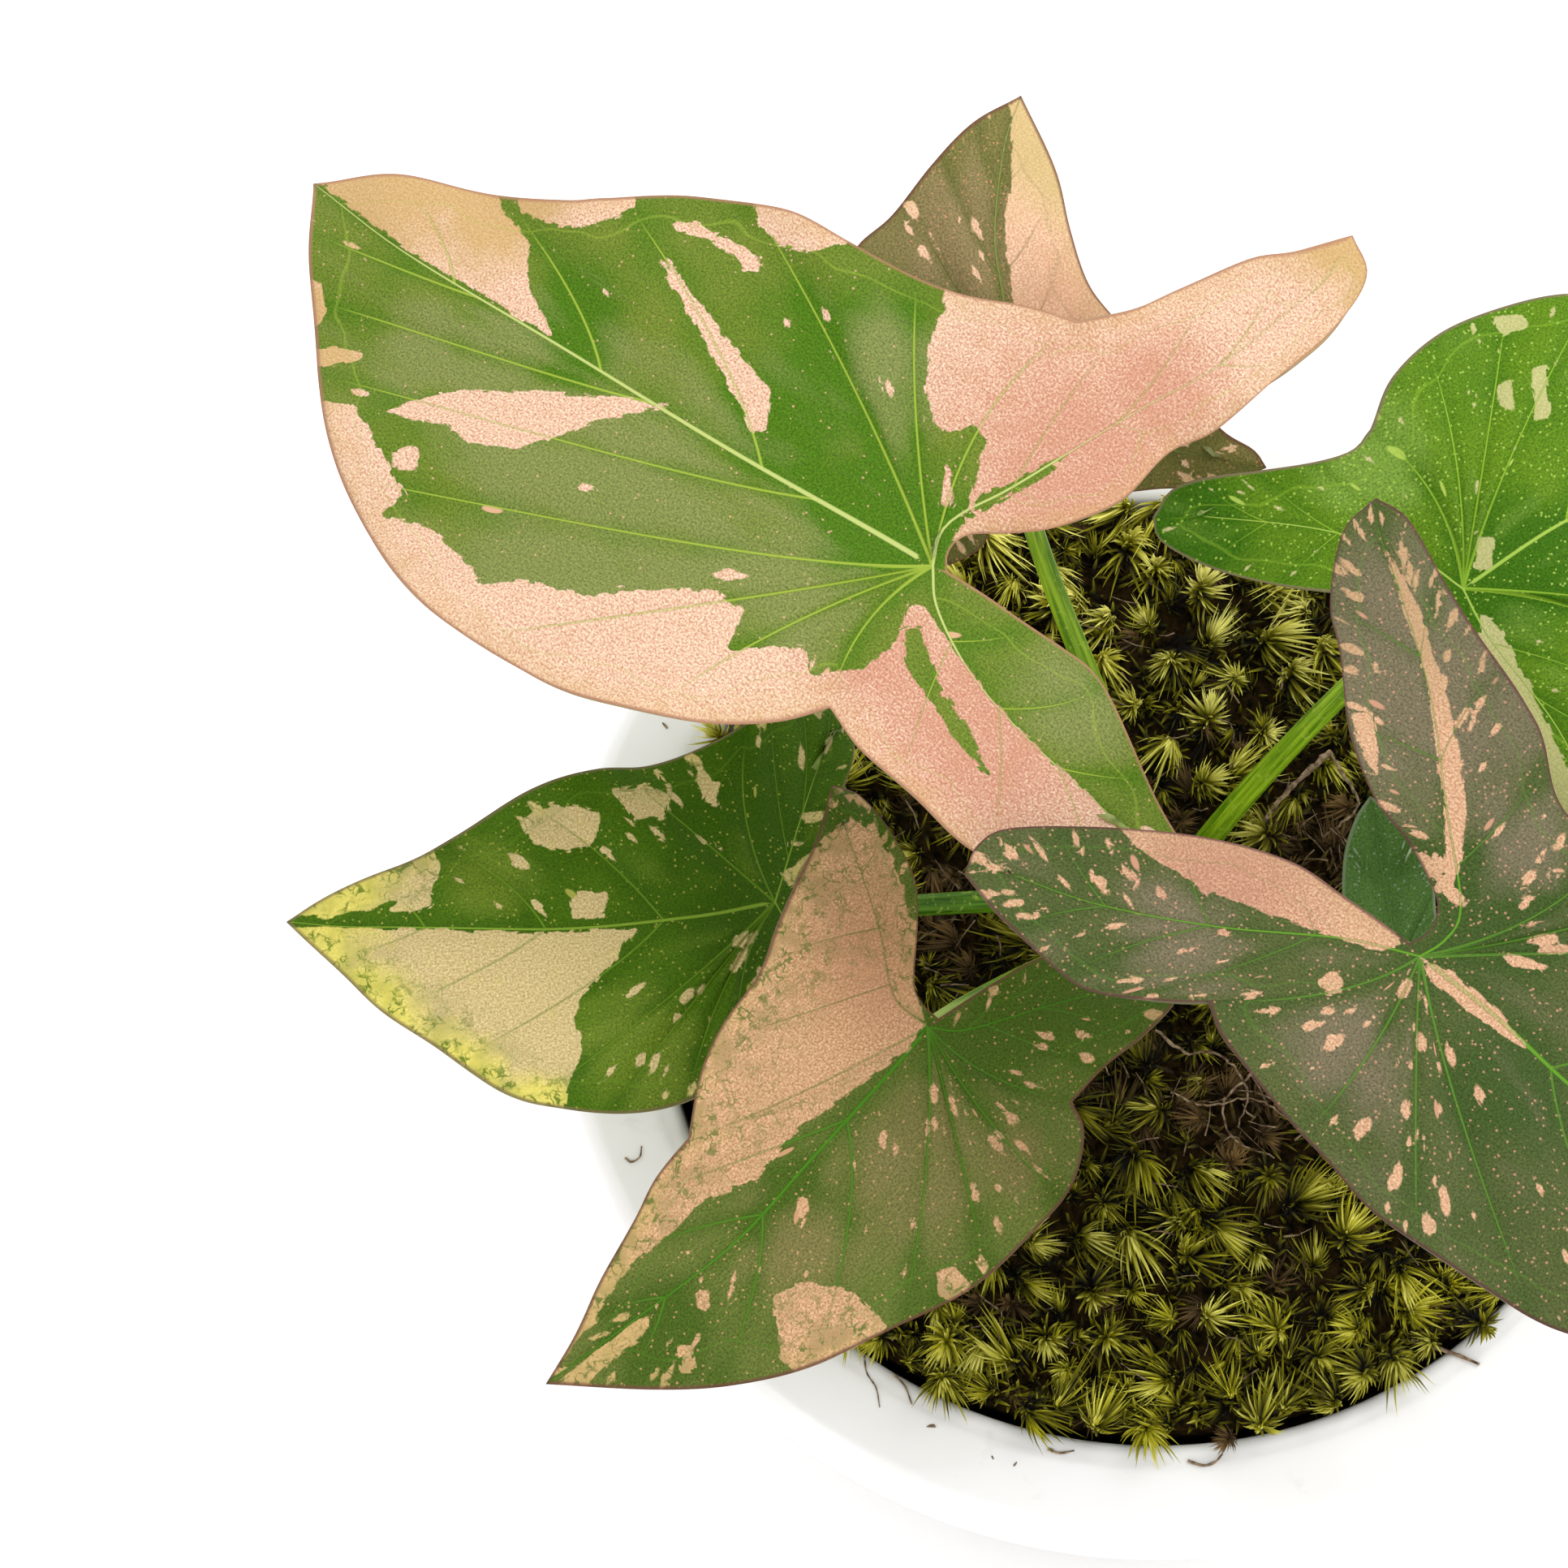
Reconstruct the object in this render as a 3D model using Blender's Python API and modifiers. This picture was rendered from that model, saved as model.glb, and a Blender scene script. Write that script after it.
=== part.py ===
"""Arrowhead plant in a glazed pot: seven arrow-shaped leaves on their stalks,
standing in soil that a carpet of moss covers.

Sizes are in millimetres and are turned into metres when a mesh is made.
The origin is the centre of the pot's flat underside, and +Z is up.
"""
import math
import random

import bmesh
import bpy
import numpy as np
from mathutils import Matrix, Vector

MM = 0.001

# Driving dimensions.
POT_HEIGHT = 115.0
RIM_RADIUS = 70.0
RIM_DEPTH = 10.0
MOUTH_RADIUS = 57.5
BASE_RADIUS = 48.0
WALL = 4.0
FLOOR = 5.0
GAP = 0.3
TURN_STEPS = 64

SOIL_EDGE_Z = 100.0
SOIL_MIDDLE_Z = 103.0
MOSS_RADIUS = 56.5
MOSS_EDGE_Z = 110.5
MOSS_MIDDLE_Z = 116.0
TUFT_COUNT = 70
TUFT_RADIUS = 5.8
TUFT_HEIGHT = 4.4
TUFT_POINTS = 6
TUFT_ROOT = 2.5
TUFT_SPACING = 9.9

CROWN = (1.5, 8.0)
CROWN_RING = 6.4
HOLE_DEPTH = 16.0
STALK_FOOT_RADIUS = 1.8
STALK_TOP_RADIUS = 1.2
STALK_SIDES = 8
# The way a stalk goes at its joint, in its leaf's own directions, and for what share
# of its length.
NECK_WAY = (0.8, 0.0, 0.6)
NECK_SHARE = 0.13

BLADE_THICKNESS = 0.75
BLADE_ROWS = (0.0, 0.3, 0.6, 0.85, 1.0)
VEIN_BOW = 0.10
PUFF = 0.55
WAVE_LENGTH = 27.0
# Waves and puffs fade out over this length, at a margin's ends and in short columns.
CALM_LENGTH = 12.0

# Each leaf lies in its own plane: u runs from the stalk joint to the tip and v
# to the left. A side's margin goes tip, notch, lobe tip, sinus. "feet" are the
# places on the midrib that side veins leave, "veins" the places on the margin
# that these reach and "fan" those reached by more veins from the joint, all as
# shares of the way from the tip.
LEAVES = {
    "a": dict(
        joint=(-26.9, 22.4, 189.0), yaw=143.6, pitch=-9.3, roll=-2.0, length=86.6,
        rise=7.0, lobe_drop=10.0, fold=0.10, curl=1.5, wave=1.3, sinus=(-1.5, -0.5),
        midrib=[(24.5, 2.5), (48.5, 3.0), (70.0, 2.5)],
        feet=(0.28, 0.52, 0.76, 1.0), lobe_columns=8,
        left=dict(
            blade=[(77.5, 11.0), (67.5, 21.0), (56.0, 30.0), (40.5, 36.0), (27.0, 35.5),
                   (17.5, 33.5), (9.5, 30.0), (3.5, 24.5), (-0.5, 19.5)],
            outer=[(-6.0, 21.5), (-13.5, 22.0), (-20.5, 22.5), (-28.5, 20.0), (-35.0, 15.0),
                   (-39.0, 8.5)],
            inner=[(-32.0, 5.5), (-21.5, -0.5), (-15.5, -1.5), (-8.5, -1.2)],
            spine=[(-3.0, 3.5), (-9.5, 7.0), (-17.5, 9.0), (-31.0, 10.5)],
            veins=(0.085, 0.17, 0.26, 0.38), fan=(0.53, 0.68, 0.84)),
        right=dict(
            blade=[(75.0, -6.0), (59.0, -10.5), (53.5, -13.5), (46.0, -19.5), (36.0, -23.0),
                   (27.0, -24.0), (15.0, -26.5), (8.0, -29.0), (2.5, -31.0)],
            outer=[(-0.5, -36.0), (-3.0, -41.5), (-7.5, -48.5), (-11.0, -52.5), (-14.0, -58.5)],
            inner=[(-17.5, -56.0), (-18.5, -49.0), (-18.0, -42.5), (-15.0, -31.5),
                   (-12.5, -26.0), (-12.0, -18.0), (-8.5, -12.0), (-4.5, -8.4), (-0.9, -5.2),
                   (-0.4, -2.4)],
            spine=[(1.4, -3.5), (0.6, -7.0), (-2.0, -12.5), (-7.5, -27.0), (-11.5, -37.0),
                   (-14.5, -50.0)],
            veins=(0.14, 0.31, 0.52, 0.72), fan=(0.86,))),
    "b": dict(
        joint=(-16.2, 40.7, 171.0), yaw=90.1, pitch=8.1, roll=4.0, length=42.7,
        rise=4.0, lobe_drop=8.0, fold=0.12, curl=2.0, wave=0.9, sinus=(-1.8, 0.2),
        midrib=[(17.5, 2.5), (25.5, 3.5), (36.0, 2.2)],
        feet=(0.28, 0.52, 0.76, 1.0), lobe_columns=5,
        left=dict(
            blade=[(39.0, 5.5), (33.5, 10.5), (27.5, 15.0), (23.5, 19.0), (18.5, 21.0),
                   (12.0, 19.5)],
            outer=[(6.0, 20.5), (-1.0, 18.5), (-6.5, 13.5), (-10.5, 8.0)],
            inner=[(-8.5, 4.5), (-5.0, 2.8)],
            spine=[(-2.0, 4.5), (-4.5, 8.5), (-6.5, 10.5)],
            veins=(0.16, 0.31, 0.48, 0.78), fan=()),
        right=dict(
            blade=[(33.0, -3.5), (26.5, -5.0), (20.0, -7.0), (15.5, -10.0)],
            outer=[(11.0, -16.0), (4.5, -21.5), (2.0, -25.5), (0.0, -27.0)],
            inner=[(-2.0, -21.5), (-2.5, -14.5), (-2.8, -7.0)],
            spine=[(1.5, -4.5), (2.0, -12.5), (1.0, -21.5)],
            veins=(0.20, 0.38, 0.60, 0.85), fan=())),
    "c": dict(
        joint=(-43.9, -3.2, 149.0), yaw=-176.3, pitch=4.2, roll=3.0, length=54.8,
        rise=5.0, lobe_drop=8.0, fold=0.12, curl=2.0, wave=1.1, sinus=(-2.0, -0.2),
        midrib=[(10.0, 2.5), (25.5, 4.0), (46.0, 2.0)],
        feet=(0.28, 0.52, 0.76, 1.0), lobe_columns=5,
        left=dict(
            blade=[(50.5, 5.5), (45.5, 11.5), (39.5, 16.5), (32.0, 23.5), (25.0, 25.5),
                   (16.0, 25.5), (9.5, 23.5), (5.0, 19.0)],
            outer=[(1.0, 19.0), (-3.5, 18.5), (-7.5, 16.5), (-10.0, 13.0)],
            inner=[(-9.0, 9.0), (-6.0, 4.5)],
            spine=[(-2.5, 5.0), (-5.0, 9.5), (-7.0, 12.5)],
            veins=(0.12, 0.26, 0.42, 0.58), fan=(0.72, 0.86)),
        right=dict(
            blade=[(50.5, -2.0), (41.5, -5.0), (35.5, -8.0), (27.5, -12.0), (19.5, -14.5),
                   (13.5, -15.5), (6.0, -18.5), (1.5, -21.0)],
            outer=[(-1.0, -24.5), (-5.0, -27.5), (-9.0, -26.5), (-11.0, -23.5)],
            inner=[(-10.5, -18.5), (-9.0, -14.5), (-6.0, -8.0), (-3.0, -3.6)],
            spine=[(-2.5, -7.0), (-5.5, -15.0), (-8.0, -21.0)],
            veins=(0.17, 0.33, 0.50, 0.70), fan=())),
    "d": dict(
        joint=(-27.2, -22.3, 165.0), yaw=-137.6, pitch=-8.1, roll=-4.0, length=56.8,
        rise=6.0, lobe_drop=10.0, fold=0.12, curl=2.0, wave=1.1, sinus=(-1.5, 0.0),
        midrib=[(6.0, 1.0), (19.5, 2.5), (32.0, 3.5), (46.0, 1.8)],
        feet=(0.28, 0.52, 0.76, 1.0), lobe_columns=6,
        left=dict(
            blade=[(49.0, 8.5), (42.0, 14.5), (34.5, 19.0), (25.5, 22.0), (16.0, 24.5),
                   (6.5, 24.5), (0.5, 23.5), (-4.5, 20.0), (-6.0, 16.5)],
            outer=[(-11.0, 16.0), (-17.0, 16.2), (-22.5, 15.5), (-26.5, 13.0)],
            inner=[(-26.0, 9.5), (-22.5, 6.5), (-15.5, 2.5), (-8.5, 0.9)],
            spine=[(-3.0, 3.0), (-12.0, 7.0), (-22.5, 12.0)],
            veins=(0.12, 0.26, 0.40, 0.54), fan=(0.68, 0.84)),
        right=dict(
            blade=[(50.5, -1.5), (44.5, -3.8), (37.5, -6.0), (33.0, -7.5), (27.5, -8.0)],
            outer=[(21.5, -12.5), (16.0, -15.0), (9.5, -16.5), (4.5, -19.0), (-1.0, -21.5),
                   (-5.0, -23.5), (-11.0, -27.5)],
            inner=[(-12.5, -24.5), (-12.0, -18.5), (-9.5, -12.0), (-2.6, -5.0), (-1.4, -2.4)],
            spine=[(0.4, -5.0), (-4.0, -12.5), (-9.0, -23.5)],
            veins=(0.25, 0.50, 0.75, 1.0), fan=())),
    "e": dict(
        joint=(23.1, -24.3, 199.0), yaw=-36.0, pitch=-18.4, roll=3.0, length=69.9,
        rise=8.0, lobe_drop=10.0, fold=0.10, curl=1.5, wave=1.2, sinus=(-1.6, 0.6),
        midrib=[(10.0, -0.8), (19.0, -2.0), (31.5, -2.5), (48.5, -1.5)],
        feet=(0.28, 0.52, 0.76, 1.0), lobe_columns=8,
        left=dict(
            blade=[(63.0, 4.5), (53.0, 12.0), (42.0, 19.5), (30.0, 24.5), (18.0, 25.0),
                   (8.5, 20.5)],
            outer=[(2.0, 22.0), (-3.5, 26.5), (-7.0, 28.5), (-13.5, 32.0), (-19.5, 35.5),
                   (-26.5, 39.0), (-30.5, 39.0)],
            inner=[(-31.0, 34.0), (-27.5, 27.0), (-24.0, 23.0), (-19.0, 16.0),
                   (-13.0, 11.5), (-7.0, 9.5), (-2.4, 6.4), (-1.1, 4.4), (-0.9, 2.2)],
            spine=[(1.0, 3.0), (0.2, 6.8), (-6.5, 14.5), (-15.0, 24.5), (-26.0, 34.5)],
            veins=(0.14, 0.30, 0.48, 0.66), fan=(0.84,)),
        right=dict(
            blade=[(62.0, -5.0), (48.0, -14.5), (35.0, -22.5), (25.0, -24.5), (12.0, -25.5),
                   (4.5, -23.5), (-2.0, -22.0), (-10.5, -19.5), (-14.0, -16.8)],
            outer=[(-17.0, -19.0), (-23.0, -22.5), (-27.5, -22.8), (-35.0, -21.5),
                   (-40.0, -19.5)],
            inner=[(-40.5, -16.0), (-39.0, -12.5), (-32.5, -7.5), (-22.5, -1.5),
                   (-15.0, 1.2), (-9.0, 0.9)],
            spine=[(-7.0, -3.0), (-17.5, -9.5), (-28.0, -14.5), (-37.0, -17.0)],
            veins=(0.12, 0.24, 0.36, 0.50), fan=(0.66, 0.82))),
    "f": dict(
        joint=(31.2, 23.4, 179.0), yaw=25.2, pitch=-13.0, roll=2.0, length=53.5,
        rise=6.0, lobe_drop=8.0, fold=0.12, curl=2.0, wave=1.1, sinus=(-2.2, 0.0),
        midrib=[(13.0, 2.0), (24.5, 1.5), (40.0, 0.3)],
        feet=(0.28, 0.52, 0.76, 1.0), lobe_columns=6,
        left=dict(
            blade=[(48.0, 4.0), (41.0, 12.0), (33.0, 20.0), (25.0, 25.0), (18.0, 27.0),
                   (10.0, 27.0), (2.5, 24.5), (-1.5, 20.5)],
            outer=[(-4.5, 19.5), (-12.5, 22.0), (-21.0, 24.5), (-24.5, 22.8)],
            inner=[(-24.5, 20.0), (-20.5, 14.5), (-14.5, 8.0), (-8.0, 3.2)],
            spine=[(-2.5, 5.0), (-7.0, 10.0), (-12.0, 14.5), (-20.5, 20.8)],
            veins=(0.12, 0.26, 0.40, 0.54), fan=(0.68, 0.84)),
        right=dict(
            blade=[(47.0, -4.0), (38.0, -10.5), (30.0, -15.0), (22.0, -16.8), (14.5, -15.5)],
            outer=[(12.0, -22.5), (8.0, -28.5), (3.0, -33.0), (0.0, -34.5)],
            inner=[(-1.8, -29.5), (-2.2, -17.5), (-2.4, -8.0)],
            spine=[(0.0, -6.5), (1.5, -19.0), (1.0, -29.0)],
            veins=(0.18, 0.35, 0.55, 0.80), fan=())),
    "g": dict(
        joint=(28.3, -4.2, 127.0), yaw=101.4, pitch=23.4, roll=0.0, length=20.1,
        rise=1.5, lobe_drop=2.0, fold=0.15, curl=3.0, wave=0.3, sinus=(-1.0, 0.0),
        midrib=[(7.0, 0.3), (14.0, 0.3)],
        feet=(0.5, 1.0), lobe_columns=3,
        left=dict(
            blade=[(18.0, 2.2), (14.5, 4.2), (10.0, 5.4), (5.5, 5.2)],
            outer=[(2.0, 4.8), (-0.5, 4.2), (-2.2, 2.8)],
            inner=[(-2.2, 1.4)],
            spine=[(0.0, 1.2), (-0.4, 2.4)],
            veins=(0.40, 0.85), fan=()),
        right=dict(
            blade=[(18.0, -2.0), (14.5, -4.0), (10.0, -5.2), (5.5, -5.0)],
            outer=[(2.0, -4.8), (-0.5, -4.2), (-2.2, -2.8)],
            inner=[(-2.2, -1.4)],
            spine=[(0.0, -1.2), (-0.4, -2.4)],
            veins=(0.40, 0.85), fan=())),
}

# Turn of each stalk's foot about the crown in degrees, how far it stands straight
# above the moss before it leans, and how much it then bows upwards.
STALK_FEET = {
    "a": (150.0, 0.5, 0.12),
    "b": (100.0, 1.0, 0.12),
    "c": (196.0, 1.5, 0.12),
    "d": (243.0, 0.5, 0.12),
    "e": (302.0, 0.5, 0.30),
    "f": (46.0, 1.0, 0.12),
    "g": (350.0, 1.8, 0.12),
}


def clear_scene():
    """Empty the file of the objects it opens with."""
    for obj in list(bpy.data.objects):
        bpy.data.objects.remove(obj, do_unlink=True)


def make_collection(name, hidden=False):
    """Make a collection in the scene; a hidden one holds tools, not parts."""
    collection = bpy.data.collections.new(name)
    bpy.context.scene.collection.children.link(collection)
    collection.hide_render = hidden
    return collection


def make_material(name, colour, roughness):
    """Make a plain surface of one colour."""
    material = bpy.data.materials.new(name)
    material.use_nodes = True
    shader = material.node_tree.nodes["Principled BSDF"]
    shader.inputs["Base Color"].default_value = (*colour, 1.0)
    shader.inputs["Roughness"].default_value = roughness
    return material


def link_mesh(name, mesh, collection, material=None):
    """Put a mesh in the scene under a plain name."""
    obj = bpy.data.objects.new(name, mesh)
    collection.objects.link(obj)
    if material:
        mesh.materials.append(material)
    return obj


def mesh_from_bmesh(name, bm):
    """Turn a bmesh in millimetres into a mesh in metres."""
    bmesh.ops.scale(bm, vec=(MM, MM, MM), verts=bm.verts)
    mesh = bpy.data.meshes.new(name)
    bm.to_mesh(mesh)
    bm.free()
    return mesh


def turned(name, profile, collection, material):
    """Turn a profile of (radius, height) points about the Z axis."""
    bm = bmesh.new()
    points = [bm.verts.new((r, 0.0, z)) for r, z in profile]
    for start, end in zip(points, points[1:]):
        bm.edges.new((start, end))
    obj = link_mesh(name, mesh_from_bmesh(name, bm), collection, material)
    screw = obj.modifiers.new("turn", "SCREW")
    screw.steps = TURN_STEPS
    screw.render_steps = TURN_STEPS
    screw.use_merge_vertices = True
    screw.merge_threshold = 0.00001
    screw.use_normal_calculate = True
    return obj


def apply_modifiers(obj):
    """Replace an object's mesh with the one its modifiers give."""
    graph = bpy.context.evaluated_depsgraph_get()
    graph.update()
    mesh = bpy.data.meshes.new_from_object(obj.evaluated_get(graph))
    obj.modifiers.clear()
    obj.data = mesh


def cut(obj, cutters, name):
    """Cut a collection of tools out of an object."""
    boolean = obj.modifiers.new(name, "BOOLEAN")
    boolean.operation = "DIFFERENCE"
    boolean.operand_type = "COLLECTION"
    boolean.collection = cutters
    boolean.solver = "EXACT"


def cylinder(name, centre, radius, bottom, top, sides, collection):
    """Stand a plain cylinder between two heights."""
    bm = bmesh.new()
    bmesh.ops.create_cone(
        bm, cap_ends=True, segments=sides, radius1=radius, radius2=radius,
        depth=top - bottom, matrix=Matrix.Translation((*centre, (top + bottom) / 2)))
    obj = link_mesh(name, mesh_from_bmesh(name, bm), collection)
    obj.display_type = "WIRE"
    return obj


# Leaves.

def smooth_line(points, count):
    """Points at equal steps along a smooth curve through the given ones."""
    points = np.array(points, dtype=float)
    before = 2 * points[0] - points[1]
    after = 2 * points[-1] - points[-2]
    padded = np.vstack([before, points, after])
    pieces = []
    for i in range(1, len(padded) - 2):
        p0, p1, p2, p3 = padded[i - 1:i + 3]
        t = np.linspace(0.0, 1.0, 24, endpoint=False)[:, None]
        pieces.append(p1 + 0.5 * t * (p2 - p0) + t ** 2 * (p0 - 2.5 * p1 + 2 * p2 - 0.5 * p3)
                      + t ** 3 * (1.5 * (p1 - p2) + 0.5 * (p3 - p0)))
    line = np.vstack(pieces + [points[-1:]])
    return resample(line, np.linspace(0.0, 1.0, count))


def resample(line, shares):
    """Points at the given shares of a line's length."""
    steps = np.linalg.norm(np.diff(line, axis=0), axis=1)
    along = np.concatenate([[0.0], np.cumsum(steps)])
    along /= along[-1]
    return np.stack([np.interp(shares, along, line[:, k]) for k in range(2)], axis=1)


def line_length(line):
    """Length of a line of points."""
    return np.linalg.norm(np.diff(line, axis=0), axis=1).sum()


def side_runs(leaf, side):
    """Margin and rib lines of the three runs along one side of a leaf."""
    tip = (leaf["length"], 0.0)
    joint = (0.0, 0.0)
    shape = leaf[side]
    midrib = smooth_line([joint] + leaf["midrib"] + [tip], 200)[::-1]
    spine = smooth_line([joint] + shape["spine"], 200)
    notch = shape["blade"][-1]
    lobe_tip = shape["outer"][-1]
    blade = smooth_line([tip] + shape["blade"], 400)
    outer = smooth_line([notch] + shape["outer"], 200)
    inner = smooth_line([lobe_tip] + shape["inner"] + [leaf["sinus"]], 200)
    return [(blade, midrib), (outer, spine), (inner, spine[::-1])]


def blade_columns(places):
    """Places on the blade's margin of its veins and of the swells between."""
    middles = [(a + b) / 2 for a, b in zip(places, places[1:])]
    return sorted(places + middles)


def side_columns(leaf, side):
    """Foot, margin point, swell and distance along the margin of each column."""
    shape = leaf[side]
    vein_places = sorted({0.0, *shape["veins"], *shape["fan"], 1.0})
    known = [0.0, *shape["veins"], 1.01]
    feet = [0.0, *leaf["feet"], 1.0]
    runs = side_runs(leaf, side)
    total = sum(line_length(margin) for margin, _ in runs)
    columns = []
    start = 0.0
    for number, (margin, rib) in enumerate(runs):
        length = line_length(margin)
        places = np.linspace(0.0, 1.0, leaf["lobe_columns"] + 1)
        foot_places = places
        if number == 0:
            places = np.array(blade_columns(vein_places))
            foot_places = np.interp(places, known, feet)
        rims = resample(margin, places)
        foot_points = resample(rib, foot_places)
        for k in range(0 if number == 0 else 1, len(places)):
            along = start + places[k] * length
            swell = k % 2 if number == 0 else 0
            columns.append((foot_points[k], rims[k], swell, along, total))
        start += length
    return columns


def blade_height(leaf, u, v):
    """Height of a leaf's blade over its own plane, without swells and waves."""
    share = u / leaf["length"]
    arch = 4 * leaf["rise"] * share
    arch -= (4 * leaf["rise"] if share > 0 else leaf["lobe_drop"]) * share ** 2
    fold = leaf["fold"] * (math.sqrt(v * v + 9.0) - 3.0)
    return arch + fold - leaf["curl"] * 0.001 * v * v


def column_point(leaf, column, row):
    """One point of a blade, a share of the way out from its rib."""
    foot, rim, swell, along, total = column
    reach = np.linalg.norm(rim - foot)
    bend = 4 * row * (1 - row) * VEIN_BOW * reach
    u = foot[0] + (rim[0] - foot[0]) * row - bend
    v = foot[1] + (rim[1] - foot[1]) * row
    ends = min(1.0, along / CALM_LENGTH, (total - along) / CALM_LENGTH)
    wave = leaf["wave"] * ends * row ** 2 * math.sin(2 * math.pi * along / WAVE_LENGTH)
    puff = PUFF * swell * min(1.0, reach / CALM_LENGTH) * math.sin(math.pi * row)
    return (u, v, blade_height(leaf, u, v) + wave + puff)


def leaf_frame(leaf):
    """Matrix that places a leaf: u, v and the way it faces, at its joint."""
    yaw = math.radians(leaf["yaw"])
    pitch = math.radians(leaf["pitch"])
    roll = math.radians(leaf["roll"])
    turn = Matrix.Rotation(yaw, 4, "Z") @ Matrix.Rotation(-pitch, 4, "Y")
    turn = turn @ Matrix.Rotation(roll, 4, "X")
    return Matrix.Translation(Vector(leaf["joint"]) * MM) @ turn


def make_leaf(name, leaf, collection, material):
    """Build a blade from columns of points that run like its side veins."""
    bm = bmesh.new()
    for side, flip in (("left", False), ("right", True)):
        columns = side_columns(leaf, side)
        grid = [[bm.verts.new(column_point(leaf, column, row)) for row in BLADE_ROWS]
                for column in columns]
        for here, there in zip(grid, grid[1:]):
            for k in range(len(BLADE_ROWS) - 1):
                corners = [here[k], here[k + 1], there[k + 1], there[k]]
                bm.faces.new(corners if flip else corners[::-1])
    bmesh.ops.remove_doubles(bm, verts=bm.verts, dist=0.02)
    bmesh.ops.triangulate(bm, faces=bm.faces)
    obj = link_mesh(name, mesh_from_bmesh(name, bm), collection, material)
    obj.matrix_world = leaf_frame(leaf)
    solidify = obj.modifiers.new("thickness", "SOLIDIFY")
    solidify.thickness = BLADE_THICKNESS * MM
    solidify.offset = -1.0
    return obj


# Leaf stalks.

def stalk_foot(key):
    """Where a stalk stands, on the ring about the crown."""
    angle = math.radians(STALK_FEET[key][0])
    return (CROWN[0] + CROWN_RING * math.cos(angle), CROWN[1] + CROWN_RING * math.sin(angle))


def stalk_points(key):
    """Foot, surface and joint end of a stalk, in millimetres, and the leaf's turn."""
    leaf = LEAVES[key]
    frame = leaf_frame(leaf).to_3x3()
    under = BLADE_THICKNESS + 3 * GAP
    end = Vector(leaf["joint"]) + frame @ Vector((0.0, 0.0, -under))
    foot = stalk_foot(key)
    bottom = Vector((*foot, SOIL_MIDDLE_Z - HOLE_DEPTH + GAP))
    rise = Vector((*foot, MOSS_MIDDLE_Z + STALK_FEET[key][1]))
    return bottom, rise, end, frame


def make_stalk(name, key, collection, material):
    """Sweep a round stalk from its hole in the soil up to its leaf's joint, which it
    reaches from behind, through the gap between the lobes."""
    bottom, rise, end, frame = stalk_points(key)
    curve = bpy.data.curves.new(name, "CURVE")
    curve.dimensions = "3D"
    curve.resolution_u = 6
    curve.render_resolution_u = 6
    curve.bevel_depth = MM
    curve.bevel_resolution = STALK_SIDES // 2 - 2
    curve.use_fill_caps = True
    spline = curve.splines.new("BEZIER")
    spline.bezier_points.add(2)
    reach = (end - rise).length
    lean = (end - rise).normalized()
    bow = STALK_FEET[key][2]
    upright = Vector((0.0, 0.0, 1.0))
    neck = frame @ Vector(NECK_WAY) * NECK_SHARE * reach
    bends = (
        (bottom, upright * 4.0, upright * 4.0, STALK_FOOT_RADIUS),
        (rise, upright * 4.0, upright * bow * reach + lean * 0.12 * reach, STALK_FOOT_RADIUS),
        (end, neck, neck, STALK_TOP_RADIUS),
    )
    for point, (place, back, ahead, radius) in zip(spline.bezier_points, bends):
        point.co = place * MM
        point.handle_left_type = "FREE"
        point.handle_right_type = "FREE"
        point.handle_left = (place - back) * MM
        point.handle_right = (place + ahead) * MM
        point.radius = radius
    swept = bpy.data.objects.new(name + "_path", curve)
    collection.objects.link(swept)
    graph = bpy.context.evaluated_depsgraph_get()
    graph.update()
    mesh = bpy.data.meshes.new_from_object(swept.evaluated_get(graph))
    bpy.data.objects.remove(swept, do_unlink=True)
    return link_mesh(name, mesh, collection, material)


# Pot, soil and moss.

def pot_profile():
    """Radius and height round the pot's section, from its underside's centre."""
    top = POT_HEIGHT
    rim = RIM_RADIUS
    mouth = MOUTH_RADIUS
    return [
        (0.0, 0.0), (BASE_RADIUS - 3.0, 0.0), (BASE_RADIUS - 1.0, 0.8), (BASE_RADIUS, 3.0),
        (mouth + 2.4, top - RIM_DEPTH - 3.0), (mouth + 3.4, top - RIM_DEPTH - 0.6),
        (rim - 3.0, top - RIM_DEPTH), (rim - 0.8, top - RIM_DEPTH + 0.8),
        (rim, top - RIM_DEPTH + 3.0), (rim, top - 3.0), (rim - 0.6, top - 1.0),
        (rim - 2.2, top), (mouth + 3.0, top), (mouth + 2.4, top - 0.5),
        (mouth + 1.2, top - 0.5), (mouth + 0.3, top - 1.0), (mouth, top - 2.5),
        (mouth - 1.2, top - 14.0), (BASE_RADIUS - WALL, FLOOR + 2.0),
        (BASE_RADIUS - WALL - 2.0, FLOOR), (0.0, FLOOR),
    ]


def inner_wall(z):
    """Radius of the pot's inner wall at a height."""
    low_z = FLOOR + 2.0
    high_z = POT_HEIGHT - 14.0
    low = BASE_RADIUS - WALL
    high = MOUTH_RADIUS - 1.2
    return low + (high - low) * (z - low_z) / (high_z - low_z)


def soil_top(radius):
    """Height of the gently domed soil."""
    share = radius / inner_wall(SOIL_EDGE_Z)
    return SOIL_MIDDLE_Z - (SOIL_MIDDLE_Z - SOIL_EDGE_Z) * share ** 2


def moss_top(radius):
    """Height of the moss cushion under its tufts."""
    share = radius / MOSS_RADIUS
    return MOSS_MIDDLE_Z - (MOSS_MIDDLE_Z - MOSS_EDGE_Z) * share ** 3


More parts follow.
